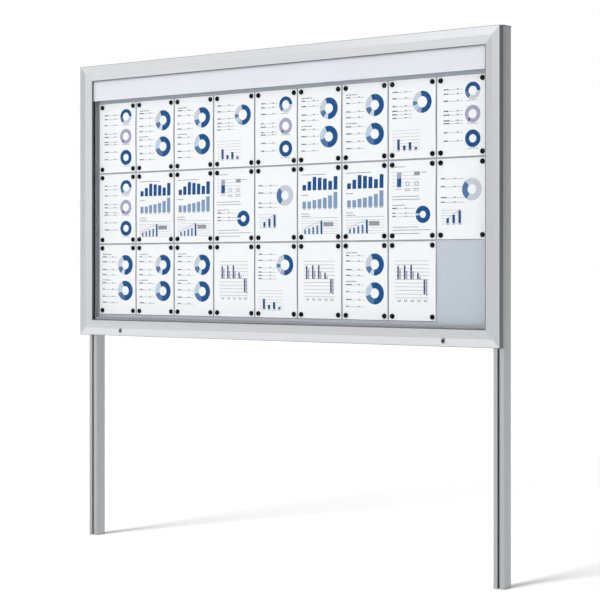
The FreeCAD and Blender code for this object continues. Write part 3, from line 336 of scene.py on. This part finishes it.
def mitred_strip(profile, half_width, low, high):
    """A profile carried round a rectangle and closed: each of its points, a distance in from
    the rectangle's edge and a depth, makes four corners, and each side joins two of them."""
    inward, depth = profile.T
    x = np.stack([inward - half_width, half_width - inward] * 2, 1)[:, [0, 1, 1, 0]]
    z = np.stack([low + inward, low + inward, high - inward, high - inward], 1)
    points = np.stack([x, depth[:, None] + 0 * x, z], -1).reshape(-1, 3)
    first = np.arange(4 * len(profile)).reshape(-1, 4)
    beside = np.roll(first, -1, axis=1)
    faces = np.stack([first, np.roll(first, -1, axis=0), np.roll(beside, -1, axis=0), beside], -1)
    return points, faces.reshape(-1, 4)


frame_width = 0.064
opening_half_width = door_half_width - frame_width
opening_low, opening_high = door_low.z + frame_width, door_high.z - frame_width
lip_hidden, lip_shown = 0.004, 0.0015
lip_round, lip_depth, lip_gap = 0.0005, 0.0048, 0.0001
lip_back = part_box("clear_pane")[0].y - lip_gap
lip_front = lip_back - lip_depth
bend = np.radians(np.linspace(0, 90, 5))
lip_profile = np.concatenate([
    [[-lip_hidden, lip_back], [lip_shown, lip_back]],
    np.stack([lip_shown - lip_round + lip_round * np.cos(bend),
              lip_front + lip_round - lip_round * np.sin(bend)], 1),
    [[-lip_hidden, lip_front]]])
lip_rubber = extruded_rubber("dark grey lip rubber", "#5C5E60", "#686A6C")
build("glazing_lip", [mitred_strip(lip_profile, opening_half_width, opening_low, opening_high)],
      lip_rubber, "door")


# Pane bead
# The pane stands on the bottom rail and is clipped in from behind by an aluminium bead, whose
# rounded upper edge shows through the pane as a grey band under the sheets. Its anodised colour
# is painted a darker grey than the door's, as painted shade for the shaded foot of the opening.

bead_height, bead_thickness, bead_round = 0.013, 0.004, 0.002
bead_gap, rubber_gap = 0.0002, 0.0006
bead_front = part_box("glazing_rubber")[1].y + rubber_gap
bead_half_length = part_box("door_seal")[1].x - bead_gap
bead_foot = opening_low + bead_gap
turned = np.radians(np.linspace(0, 180, 10))
bead_outline = np.concatenate([
    [[bead_front + bead_thickness, bead_foot], [bead_front, bead_foot]],
    np.stack([bead_front + bead_round - bead_round * np.cos(turned),
              opening_low + bead_height - bead_round + bead_round * np.sin(turned)], 1)])


def ring_fill(ring):
    """Quads that close an even ring of corners: strips that join its two halves."""
    corner = np.arange(1, len(ring) // 2)
    return ring[np.stack([corner - 1, corner, len(ring) - 1 - corner, len(ring) - corner], 1)]


def straight_bar(outline, half_length):
    """An outline of depths and heights carried along X, with both ends closed."""
    ends = [np.column_stack([np.full(len(outline), end), outline])
            for end in (-half_length, half_length)]
    first = np.arange(len(outline))
    beside = np.roll(first, -1)
    sides = np.stack([first, first + len(outline), beside + len(outline), beside], 1)
    faces = np.concatenate([sides, ring_fill(first), ring_fill(first + len(outline))[:, ::-1]])
    return np.concatenate(ends), faces


# Painted shade: the bead's anodised colour is a darker grey.
bead_metal = extruded_aluminium("anodised pane bead", 0, "#8E9092", "#989A9C")
build("pane_bead", [straight_bar(bead_outline, bead_half_length)], bead_metal, "door")


# Header panel
# Aluminium sheet, coated very pale blue-grey and left plain. It lies behind the top of the pane
# and swings with the door.

header_coat = powder_coat("pale header coat", "#E0E3EA", "#E6E9F0", rough=0.5)
dress(header_coat, "header_panel")


# Locks
# Cam locks with a chromed die cast barrel and rose, and a plug with a keyway in black nickel,
# whose black is also painted shade for the shadowed side of the lock's face.
# Both platings mirror their surroundings, dulled by hairline scratches from keys.

def chrome_plate(name, dark, light, smooth=0.08, rough=0.2):
    """Chrome plate. Its scratches are finer than a hair, and are drawn 1 mm wide and 12 mm long
    so that they dull the mirror."""
    scratch_width, scratch_length = 0.001, 0.012
    made, tree, shader = new_material(name, metallic=1.0)
    scratches = noise_on(tree, [scratch_length, scratch_width, scratch_width])
    tint(tree, shader, scratches, dark, light)
    vary_roughness(tree, shader, scratches, smooth, rough)
    return made


chrome = chrome_plate("chrome plate", "#B9BCC2", "#C8CBD0")
dress(chrome, "left_lock_barrel", "right_lock_barrel")
# Painted shade: the plug's near-black plate also stands for the shadowed side of the lock.
dress(chrome_plate("black nickel plate", "#1C1D1F", "#28292B"), "left_lock_plug",
      "right_lock_plug")


# Gas struts
# A hard chromed, ground piston rod, bright as a mirror, in a seamless steel tube with glossy
# black lacquer. The rod's eye turns on the case's bracket, and the tube's ball cup on the door's.

rod_chrome = chrome_plate("ground hard chrome", "#BABCC0", "#C6C8CB", smooth=0.1, rough=0.18)
dress(rod_chrome, "left_strut_rod", "right_strut_rod")


def black_lacquer(name, dark, light):
    """Dipped lacquer: a glossy coat over black, with runs 6 mm wide and 90 mm long down it."""
    run_width, run_length = 0.006, 0.09
    made, tree, shader = new_material(name, ior=1.5, coat_weight=0.6, coat_roughness=0.12)
    runs = noise_on(tree, [run_width, run_width, run_length])
    tint(tree, shader, runs, dark, light)
    vary_roughness(tree, shader, runs, smooth=0.30, rough=0.42)
    return made


lacquer = black_lacquer("black lacquered tube", "#0E0E10", "#18181A")
dress(lacquer, "left_strut_tube", "right_strut_tube")


# Sheets
# 26 A4 sheets of white card, held by magnets at their corners. Between the magnets the card
# bows forward by two to four millimetres, and its outer edge curls forward, as prints do.

sheets_low, sheets_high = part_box("notice_sheets")
sheet_width, sheet_height = 0.210, 0.297
columns, rows = 9, 3
sheet_count = 26
column_pitch = (sheets_high.x - sheets_low.x - sheet_width) / (columns - 1)
row_pitch = (sheets_high.z - sheets_low.z - sheet_height) / (rows - 1)
random = np.random.default_rng(7)
sheet_bow = random.uniform(0.002, 0.004, sheet_count)
edge_curl, curl_width = 0.0018, 0.016
card_thickness = 0.00025


def quads(down, across):
    """Corner numbers of the quads of a grid of points, row by row, whose fronts face -Y."""
    first = np.arange(down * across).reshape(down, across)
    corners = [first[:-1, :-1], first[1:, :-1], first[1:, 1:], first[:-1, 1:]]
    return np.stack(corners, -1).reshape(-1, 4)


def on_sheet(cell, right, down, proud=0.0):
    """Points on a sheet's front, from distances in metres right and down from its top left.

    The bow is its height times (sin^2(pi u) + sin^2(pi v)) / 2, with u and v from 0 to 1. The
    curl grows with the square of the way from the border's inner line to the sheet's edge."""
    u = right / sheet_width
    v = down / sheet_height
    bow = sheet_bow[cell] * (np.sin(math.pi * u) ** 2 + np.sin(math.pi * v) ** 2) / 2
    from_side = np.minimum(right, sheet_width - right)
    from_end = np.minimum(down, sheet_height - down)
    curl = edge_curl * (np.clip(1 - from_side / curl_width, 0, 1) ** 2
                        + np.clip(1 - from_end / curl_width, 0, 1) ** 2)
    x = sheets_low.x + (cell % columns) * column_pitch + right
    y = sheets_low.y - bow - curl - proud
    z = sheets_high.z - (cell // columns) * row_pitch - down
    return np.stack([x, y + 0 * x, z + 0 * x], -1).reshape(-1, 3)


def white_card(name, dark, light):
    """Card under a matt coating. Its fibre clouds are about 1 mm wide, and are drawn 3 mm wide
    and 0.02 mm high."""
    fibre_size, fibre_height = 0.003, 0.00002
    made, tree, shader = new_material(name, ior=1.5, specular_ior_level=0.2)
    fibre = noise_on(tree, [fibre_size] * 3, detail=4.0)
    tint(tree, shader, fibre, dark, light)
    vary_roughness(tree, shader, fibre, smooth=0.72, rough=0.85)
    raise_surface(tree, shader, fibre, fibre_height)
    return made


card = white_card("white card", "#EFF1F3", "#F4F5F7")


def lines_across(length, inner):
    """Grid lines: four steps over the curled border at each end, ``inner`` steps between."""
    border = np.linspace(0, curl_width, 5)
    middle = np.linspace(curl_width, length - curl_width, inner + 1)
    return np.concatenate([border[:-1], middle, length - border[-2::-1]])


lines_down = lines_across(sheet_height, inner=15)
lines_right = lines_across(sheet_width, inner=10)
sheet_down, sheet_right = np.meshgrid(lines_down, lines_right, indexing="ij")
sheet_parts = [(on_sheet(cell, sheet_right, sheet_down), quads(*sheet_right.shape))
               for cell in range(sheet_count)]
sheets = build("printed_sheets", sheet_parts, card, "stand")
card_body = sheets.modifiers.new("card", "SOLIDIFY")
card_body.thickness = card_thickness
card_body.offset = -1.0
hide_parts("notice_sheets")


# Print on the sheets
# Offset printed charts with made-up values, and grey dashes where lines of text would be. Each
# ink stands a tenth of a millimetre proud of the card and follows its bow. Marks are placed in
# millimetres from their sheet's top left corner.

ink_proud = 0.00012
longest_step = 20.0
turn_step = 8.0
inks = {}


def mark(ink, cell, right, down):
    """Print a grid of points, given in millimetres on the sheet."""
    points = on_sheet(cell, right / 1000, down / 1000, ink_proud)
    inks.setdefault(ink, []).append((points, quads(*right.shape)))


def block(ink, cell, left, top, width, height):
    """A printed rectangle, cut into steps short enough to follow the bowed card."""
    across = np.linspace(left, left + width, int(width / longest_step) + 2)
    down = np.linspace(top, top + height, int(height / longest_step) + 2)
    grid_y, grid_x = np.meshgrid(down, across, indexing="ij")
    mark(ink, cell, grid_x, grid_y)


def ring(ink, cell, middle, inner, outer, start=0.0, end=360.0):
    """A ring or part of one: radius times (sin, -cos) of the angle clockwise from the top."""
    steps = int(abs(end - start) / turn_step) + 2
    angle, radius = np.meshgrid(np.radians(np.linspace(start, end, steps)), [outer, inner])
    mark(ink, cell, middle[0] + radius * np.sin(angle), middle[1] - radius * np.cos(angle))


def stroke(ink, cell, x0, y0, x1, y1, width=1.1):
    """A ruled line that runs to the right: a band of ``width`` between two points."""
    along = np.linspace(0, 1, int(math.hypot(x1 - x0, y1 - y0) / longest_step) + 2)
    side, share = np.meshgrid([-width / 2, width / 2], along, indexing="ij")
    mark(ink, cell, x0 + share * (x1 - x0), y0 + share * (y1 - y0) + side)


def words(ink, cell, left, top, length, height=1.6):
    """A line of text as grey dashes of uneven length: no letters are drawn."""
    space, shortest_word, longest_word, shortest_end = 1.6, 4, 13, 3
    place = left
    while place < left + length - shortest_end:
        dash = min(random.uniform(shortest_word, longest_word), left + length - place)
        block(ink, cell, place, top, dash, height)
        place += dash + space


def joint_shade_lines(cell, width=1.0):
    """Painted shade in the joints between sheets: a dark line printed along the sheet's four
    edges.
    """
    for left in (0, sheet_width * 1000 - width):
        mark("frame", cell, *np.meshgrid([left, left + width], lines_down * 1000))
    for top in (0, sheet_height * 1000 - width):
        mark("frame", cell, *np.meshgrid(lines_right * 1000, [top, top + width]))


margin = 17


def labels(cell, tops, reach, left=margin):
    """Lines that lead to a chart: a word, a ruled line and a dash for a figure on the way."""
    word_lengths, word_height, word_rise = (14, 26), 3.4, 1.8
    dash_place, dash_length, dash_height, dash_rise = 58, 6, 3.0, 1.5
    rule_drop = 2.2
    for top in tops:
        words("text", cell, left, top - word_rise, random.uniform(*word_lengths), word_height)
        stroke("rule", cell, left, top + rule_drop, reach, top + rule_drop)
        block("text", cell, left + dash_place, top - dash_rise, dash_length, dash_height)


def ruled_scale(cell, tops, left, right, figures):
    """A chart's ruled lines, with a dash for a figure at the left of each."""
    dash_length, dash_height, dash_rise = 6, 1.6, 1
    for top in tops:
        stroke("grid", cell, left, top, right, top)
        block("text", cell, figures, top - dash_rise, dash_length, dash_height)


def sectors(cell, middle, inner, outer, start, parts):
    """A ring of sectors: each part is an ink and the angle at which its sector ends."""
    for ink, end in parts:
        ring(ink, cell, middle, inner, outer, start, end)
        start = end


def three_rings(cell):
    """Three rings one above the other, each with a line of text below it."""
    labels(cell, (50, 66, 92, 129, 143, 164, 174, 207, 238), 112, left=29)
    sectors(cell, (153, 60), 17, 32, 90, (("silver", 215), ("mid", 270), ("dark", 450)))
    sectors(cell, (153, 144), 17, 32, 208, (("violet", 225), ("lavender", 568)))
    sectors(cell, (153, 233), 15, 32, 0, (("dark", 360),))
    for top in (94, 178, 268):
        words("text", cell, 131, top, 44)


def two_rings(cell):
    """Two large rings, each with a title and four labels."""
    upper = (("dark", 186), ("pale", 215), ("mid", 255), ("silver", 335))
    lower = (("dark", 186), ("mid", 255), ("sky", 335))
    for middle, tops, parts in ((87, (52, 73, 106, 128), upper),
                                (196, (163, 190, 220, 246), lower)):
        words("title", cell, margin, middle - 46, 52, 2.6)
        labels(cell, tops, 104)
        sectors(cell, (150, middle), 19, 42, -25, parts)


def ring_and_bars(cell):
    """A ring of five sectors over four bars."""
    labels(cell, (45, 69, 98, 116, 129, 142), 108)
    sectors(cell, (150, 88), 21, 41, -10, (("dark", 185), ("lavender", 215), ("sky", 252),
                                           ("mid", 276), ("silver", 350)))
    ruled_scale(cell, range(190, 263, 12), 30, 142, 19)
    for place, height in ((44, 40), (70, 16), (96, 27), (122, 8)):
        block("dark", cell, place - 6, 262 - height, 12, height)
        block("text", cell, place - 6, 265, 12, 1.8)


def two_bar_charts(cell):
    """Seven dark bars, seven paler ones below, and a small chart with a rising line."""
    words("title", cell, margin, 38, 116, 2.2)
    words("title", cell, margin, 117, 34, 2.2)
    upper = (22, 35, 52, 48, 44, 34, 52)
    lower = (27, 27, 32, 35, 40, 48, 61)
    for bar, (tall, height) in enumerate(zip(upper, lower)):
        left = 22 + 25 * bar
        block("dark", cell, left, 100 - tall, 18, tall)
        block("steel", cell, left, 170 - height, 18, height)
        block("text", cell, left + 3, 172, 11, 2)
    words("title", cell, margin, 190, 38, 2.2)
    words("title", cell, margin, 199, 44, 2.2)
    stroke("rule", cell, margin, 207, 195, 207)
    ruled_scale(cell, range(219, 270, 10), 28, 195, 18)
    for bar, height in enumerate((18, 23, 28, 33, 52)):
        block("mid" if bar < 4 else "dark", cell, 30 + 20 * bar, 270 - height, 9, height)
    stroke("rule", cell, 24, 250, 112, 218, 1.2)
    block("stamp", cell, 124, 224, 47, 17)


def stacked_bar_and_ring(cell):
    """One bar in two inks beside two small rings, and a larger ring below between texts."""
    words("title", cell, 23, 23, 48, 2.2)
    ruled_scale(cell, range(44, 97, 13), 27, 142, 18)
    block("lavender", cell, 37, 44, 20, 23)
    block("dark", cell, 37, 67, 20, 33)
    for place in (85, 125):
        ring("silver", cell, (place, 88), 4, 10)
        words("text", cell, place - 14, 106, 28, 2)
        words("text", cell, place - 12, 112, 24, 2)
    block("stamp", cell, 114, 44, 25, 14)
    words("text", cell, 145, 46, 24, 2)
    words("text", cell, 32, 106, 30, 2)
    words("text", cell, margin, 134, 120, 2)
    words("text", cell, margin, 145, 124, 2)
    words("title", cell, margin, 166, 60, 2.2)
    labels(cell, (178, 196, 208), 120)
    sectors(cell, (153, 203), 13, 32, -80, (("dark", 262), ("sky", 280)))
    for top, length in ((248, 114), (259, 172), (272, 120)):
        words("text", cell, margin, top, length, 2)


def sector_and_bars(cell):
    """A pale ring with one darker sector, and three bars with a rising line."""
    labels(cell, (74, 103, 143, 160), 116)
    sectors(cell, (150, 116), 18, 41, -42, (("silver", 212), ("mid", 318)))
    ruled_scale(cell, range(190, 241, 10), 30, 112, 22)
    for place, height in ((47, 19), (73, 31), (99, 46)):
        block("dark", cell, place - 6, 238 - height, 11, height)
        block("text", cell, place - 5, 241, 10, 1.8)
    stroke("rule", cell, 43, 222, 100, 188, 1.2)


def paired_bars(cell):
    """Pairs of bars above and below a line, and a row of small open rings."""
    lines, line_gap, zero = 11, 13.7, 142
    for line in range(lines):
        stroke("rule", cell, 28, 74 + line_gap * line, 178, 74 + line_gap * line)
    pairs = ((42, 50, 37), (72, 52, 31), (101, 53, 30), (131, 24, 10), (159, -55, -60))
    for place, dark, pale in pairs:
        block("navy", cell, place - 3, zero - max(dark, 0), 7, abs(dark))
        block("lavender", cell, place + 6, zero - max(pale, 0), 7, abs(pale))
        ring("text", cell, (place + 5, 220), 4.2, 6.6, 60, 300)


top_row = [three_rings, two_rings, two_rings, ring_and_bars] * 2 + [three_rings]
middle_row = [three_rings, *[two_bar_charts, two_bar_charts, stacked_bar_and_ring,
                             sector_and_bars] * 2]
bottom_row = [two_rings, two_rings, two_rings, paired_bars, ring_and_bars, paired_bars,
              two_rings, paired_bars]
for cell, chart in enumerate(top_row + middle_row + bottom_row):
    chart(cell)
    # Painted shade: a dark line along each sheet's edges darkens the joints between sheets.
    joint_shade_lines(cell)

ink_colours = {
    "dark": "#004884", "navy": "#26366E", "mid": "#466E9E", "steel": "#7894B4",
    "sky": "#B4C9DA", "pale": "#C6D2E2", "lavender": "#A09DB8", "violet": "#5E4E9C",
    "silver": "#C0C6D0", "text": "#36383E", "title": "#2C2E32", "rule": "#66686D",
    # The last of these is painted shade for the joints between sheets.
    "grid": "#9C9EA2", "stamp": "#8E919C", "frame": "#505257",
}


def printing_ink(name, colour):
    """Offset ink on matt coated card: solid areas mottle over 2 mm, to 8 levels lighter."""
    mottle_size, lift = 0.002, 8
    made, tree, shader = new_material(name, ior=1.5, specular_ior_level=0.12)
    mottle = noise_on(tree, [mottle_size] * 3)
    levels = [int(colour[place:place + 2], 16) for place in (1, 3, 5)]
    lighter = "#" + "".join(f"{min(level + lift, 255):02X}" for level in levels)
    tint(tree, shader, mottle, colour, lighter)
    vary_roughness(tree, shader, mottle, smooth=0.50, rough=0.60)
    return made


for ink, colour in ink_colours.items():
    build(f"print_{ink}", inks[ink], printing_ink(f"{ink} ink", colour), "stand")


# Magnets
# Round button magnets in black plastic shells, four to a sheet. The shell is moulded with a
# shallow dome and a rounded rim, and so matt that it shows as a plain black dot.

magnets_low, magnets_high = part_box("sheet_magnets")
magnet_radius, magnet_inset = 0.0095, 0.016
magnet_height = magnets_high.y - magnets_low.y
magnet_sides = 20
sharpest_round = math.radians(60)


def button(cell, right, down):
    """A turned shell: rings of points at the radius and height of each point of a rounded
    profile, closed at its base and at its top."""
    radius = magnet_radius * np.array([1.0, 1.0, 0.95, 0.8, 0.5, 0.02])
    height = magnet_height * np.array([0.0, 0.62, 0.8, 0.92, 0.98, 1.0])
    turn = np.linspace(0, 2 * math.pi, magnet_sides + 1)[:-1]
    middle_x = sheets_low.x + (cell % columns) * column_pitch + right
    middle_z = sheets_high.z - (cell // columns) * row_pitch - down
    x = middle_x + radius[:, None] * np.cos(turn)
    y = magnets_high.y - height[:, None] + 0 * x
    z = middle_z + radius[:, None] * np.sin(turn)
    points = np.stack([x, y, z], -1).reshape(-1, 3)
    first = np.arange(radius.size * turn.size).reshape(radius.size, turn.size)
    following = np.roll(first, -1, axis=1)
    sides = np.stack([first[:-1], following[:-1], following[1:], first[1:]], -1).reshape(-1, 4)
    return points, np.concatenate([sides, ring_fill(first[-1]), ring_fill(first[0])[:, ::-1]])


corners = [(right, down) for right in (magnet_inset, sheet_width - magnet_inset)
           for down in (magnet_inset, sheet_height - magnet_inset)]
buttons = [button(cell, *corner) for cell in range(sheet_count) for corner in corners]
magnet_plastic = moulded_plastic("moulded black shell", "#070707", "#0C0C0D", grain=0.001,
                                 rough=0.6, gloss=0.05)
magnets = build("magnet_buttons", buttons, magnet_plastic, "stand")
magnets.data.shade_smooth()
magnets.data.set_sharp_from_angle(angle=sharpest_round)
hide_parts("sheet_magnets")


# Floor
# A plain, matt, pale studio floor, which looks a tone paler to the camera and through the pane
# than it lights the board, so that the shadows of the posts still show on it.

def pale_floor():
    """Matt grey, with a glow that only the camera and the pane's rays see."""
    glow_strength = 0.22
    made, tree, shader = new_material("pale floor", roughness=0.9, specular_ior_level=0.0)
    shader.inputs["Base Color"].default_value = linear("#959595")
    path = add(tree, "LightPath")
    seen = add(tree, "Math", {"operation": "MAXIMUM"},
               {0: path.outputs["Is Camera Ray"], 1: path.outputs["Is Transmission Ray"]})
    glow = add(tree, "Math", {"operation": "MULTIPLY", 1: glow_strength},
               {0: seen.outputs["Value"]})
    shader.inputs["Emission Color"].default_value = linear("#FFFFFF")
    tree.links.new(shader.inputs["Emission Strength"], glow.outputs["Value"])
    return made


floor_reach = 400.0
floor_mesh = bpy.data.meshes.new("floor")
floor_mesh.from_pydata([(-floor_reach, -floor_reach, 0), (floor_reach, -floor_reach, 0),
                        (floor_reach, floor_reach, 0), (-floor_reach, floor_reach, 0)],
                       [], [(0, 1, 2, 3)])
floor_mesh.materials.append(pale_floor())
floor = bpy.data.objects.new("floor", floor_mesh)
bpy.context.scene.collection.objects.link(floor)


# Light
# A white surround, one large soft box high in front on the left, two small ones that only the
# metal mirrors, and a low sun that rakes the floor alone, so that the posts' shadows lie on it
# as short streaks.

def raking_sun(way, elevation, spread, strength):
    """A wide low sun along ``way`` at ``elevation`` degrees. It lights the floor alone, and only
    the posts stand in its way."""
    sun = bpy.data.lights.new("raking sun", "SUN")
    sun.angle = math.radians(spread)
    sun.energy = strength
    holder = bpy.data.objects.new("raking sun", sun)
    bpy.context.scene.collection.objects.link(holder)
    holder.rotation_euler = (math.radians(90 - elevation), 0, math.atan2(-way[0], way[1]))
    lit = bpy.data.collections.new("lit by the raking sun")
    lit.objects.link(floor)
    holder.light_linking.receiver_collection = lit
    shading = bpy.data.collections.new("shading the raking sun")
    for name in ("left_post", "right_post"):
        shading.objects.link(nodes[name])
    holder.light_linking.blocker_collection = shading


raking_sun(way=(0.2, 0.98), elevation=15.0, spread=22.0, strength=20.6)


def white_surround():
    """A white room with a soft box in front and one on the left. The metal mirrors them, the
    dimmer gap between them, the dimmer ceiling, which is darkest in front, and a dark flag at
    the back right. Each tone has the way to its middle, the cosines of the angle to it at its
    rim and where it is full, and its strength outside and inside."""
    daylight = 0.98
    box_foot, box_top = -0.06, 0.10
    ceiling_foot, ceiling_full, ceiling_strength = 0.12, 0.4, 0.62
    world = bpy.data.worlds.new("white surround")
    world.use_nodes = True
    tree = world.node_tree
    way = add(tree, "TexCoord").outputs["Generated"]
    height = add(tree, "SeparateXYZ", {}, {"Vector": way}).outputs["Z"]
    tones = {"flag": ((0.6, 0.8, 0.0), 0.1, 0.85, 1.0, 0.42),
             "gap": ((-0.6, -0.8, 0.0), 0.87, 0.97, 1.16, 0.96),
             "front box": ((-0.16, -0.987, 0.0), 0.94, 0.99, 0.0, 0.95),
             "front ceiling": ((-0.1, -0.65, 0.753), 0.80, 0.94, 1.0, 0.12)}
    for name, (middle, rim, full, outside, inside) in tones.items():
        facing = add(tree, "VectorMath", {"operation": "DOT_PRODUCT", 1: middle}, {0: way})
        tones[name] = add(tree, "MapRange", {"From Min": rim, "From Max": full,
                                             "To Min": outside, "To Max": inside,
                                             "interpolation_type": "SMOOTHSTEP"},
                          {"Value": facing.outputs["Value"]}).outputs["Result"]
    raised = add(tree, "MapRange", {"From Min": box_foot, "From Max": box_top,
                                    "interpolation_type": "SMOOTHSTEP"}, {"Value": height})
    box = add(tree, "Math", {"operation": "MULTIPLY"},
              {0: tones["front box"], 1: raised.outputs["Result"]})
    mirrored = add(tree, "Math", {"operation": "ADD", 1: 1.0}, {0: box.outputs["Value"]})
    slope = add(tree, "Math", {"operation": "ABSOLUTE"}, {0: height})
    dim = add(tree, "MapRange", {"From Min": ceiling_foot, "From Max": ceiling_full,
                                 "To Min": 1.0, "To Max": ceiling_strength,
                                 "interpolation_type": "SMOOTHSTEP"},
              {"Value": slope.outputs["Value"]})
    for tone in (tones["flag"], tones["gap"], tones["front ceiling"], dim.outputs["Result"]):
        mirrored = add(tree, "Math", {"operation": "MULTIPLY"},
                       {0: mirrored.outputs["Value"], 1: tone})
    path = add(tree, "LightPath")
    lighting = add(tree, "Mix", {2: daylight}, {0: path.outputs["Is Glossy Ray"],
                                                3: mirrored.outputs["Value"]})
    seen = add(tree, "Math", {"operation": "MAXIMUM"},
               {0: path.outputs["Is Camera Ray"], 1: path.outputs["Is Transmission Ray"]})
    strength = add(tree, "Mix", {3: 1.0}, {0: seen.outputs["Value"], 2: lighting.outputs[0]})
    surround = tree.nodes["Background"]
    surround.inputs["Color"].default_value = (1, 1, 1, 1)
    tree.links.new(surround.inputs["Strength"], strength.outputs[0])
    bpy.context.scene.world = world


white_surround()


def soft_lamp(name, place, aim, width, watts, mirrored=False):
    """A square soft box. The metal mirrors a ``mirrored`` one, which lights nothing else."""
    lamp = bpy.data.lights.new(name, "AREA")
    lamp.shape = "SQUARE"
    lamp.size = width
    lamp.energy = watts
    holder = bpy.data.objects.new(name, lamp)
    bpy.context.scene.collection.objects.link(holder)
    holder.location = place
    holder.visible_glossy = mirrored
    holder.visible_diffuse = not mirrored
    holder.visible_camera = False
    way = np.array(aim) - np.array(place)
    pitch = math.atan2(math.hypot(way[0], way[1]), -way[2])
    holder.rotation_euler = (pitch, 0, math.atan2(-way[0], way[1]))


soft_lamp("key", (-2.2, -6.4, 4.8), aim=(0, 0, 1.2), width=5.0, watts=128)
soft_lamp("upper box", (-0.5, -2.6, 2.7), aim=(1.0, 0, 2.0), width=1.2, watts=1.4,
          mirrored=True)
soft_lamp("lower box", (-3.7, -2.8, 0.6), aim=(-1.0, 0, 0.9), width=1.2, watts=0.9,
          mirrored=True)


# Camera
# It stands level at the height of the board's lower half, 37 degrees to the right of square on,
# and its shift brings the board into the upper half of the picture.

camera = bpy.data.cameras.new("camera")
camera.sensor_width = 36.0
camera.lens = 99.84
camera.shift_x = 0.0025
camera.shift_y = -0.053
camera_holder = bpy.data.objects.new("camera", camera)
bpy.context.scene.collection.objects.link(camera_holder)
camera_holder.location = (4.05, -5.178, 1.15)
camera_holder.rotation_euler = (math.radians(90), 0, math.radians(37.3))
bpy.context.scene.camera = camera_holder
bpy.context.scene.view_settings.view_transform = "Standard"
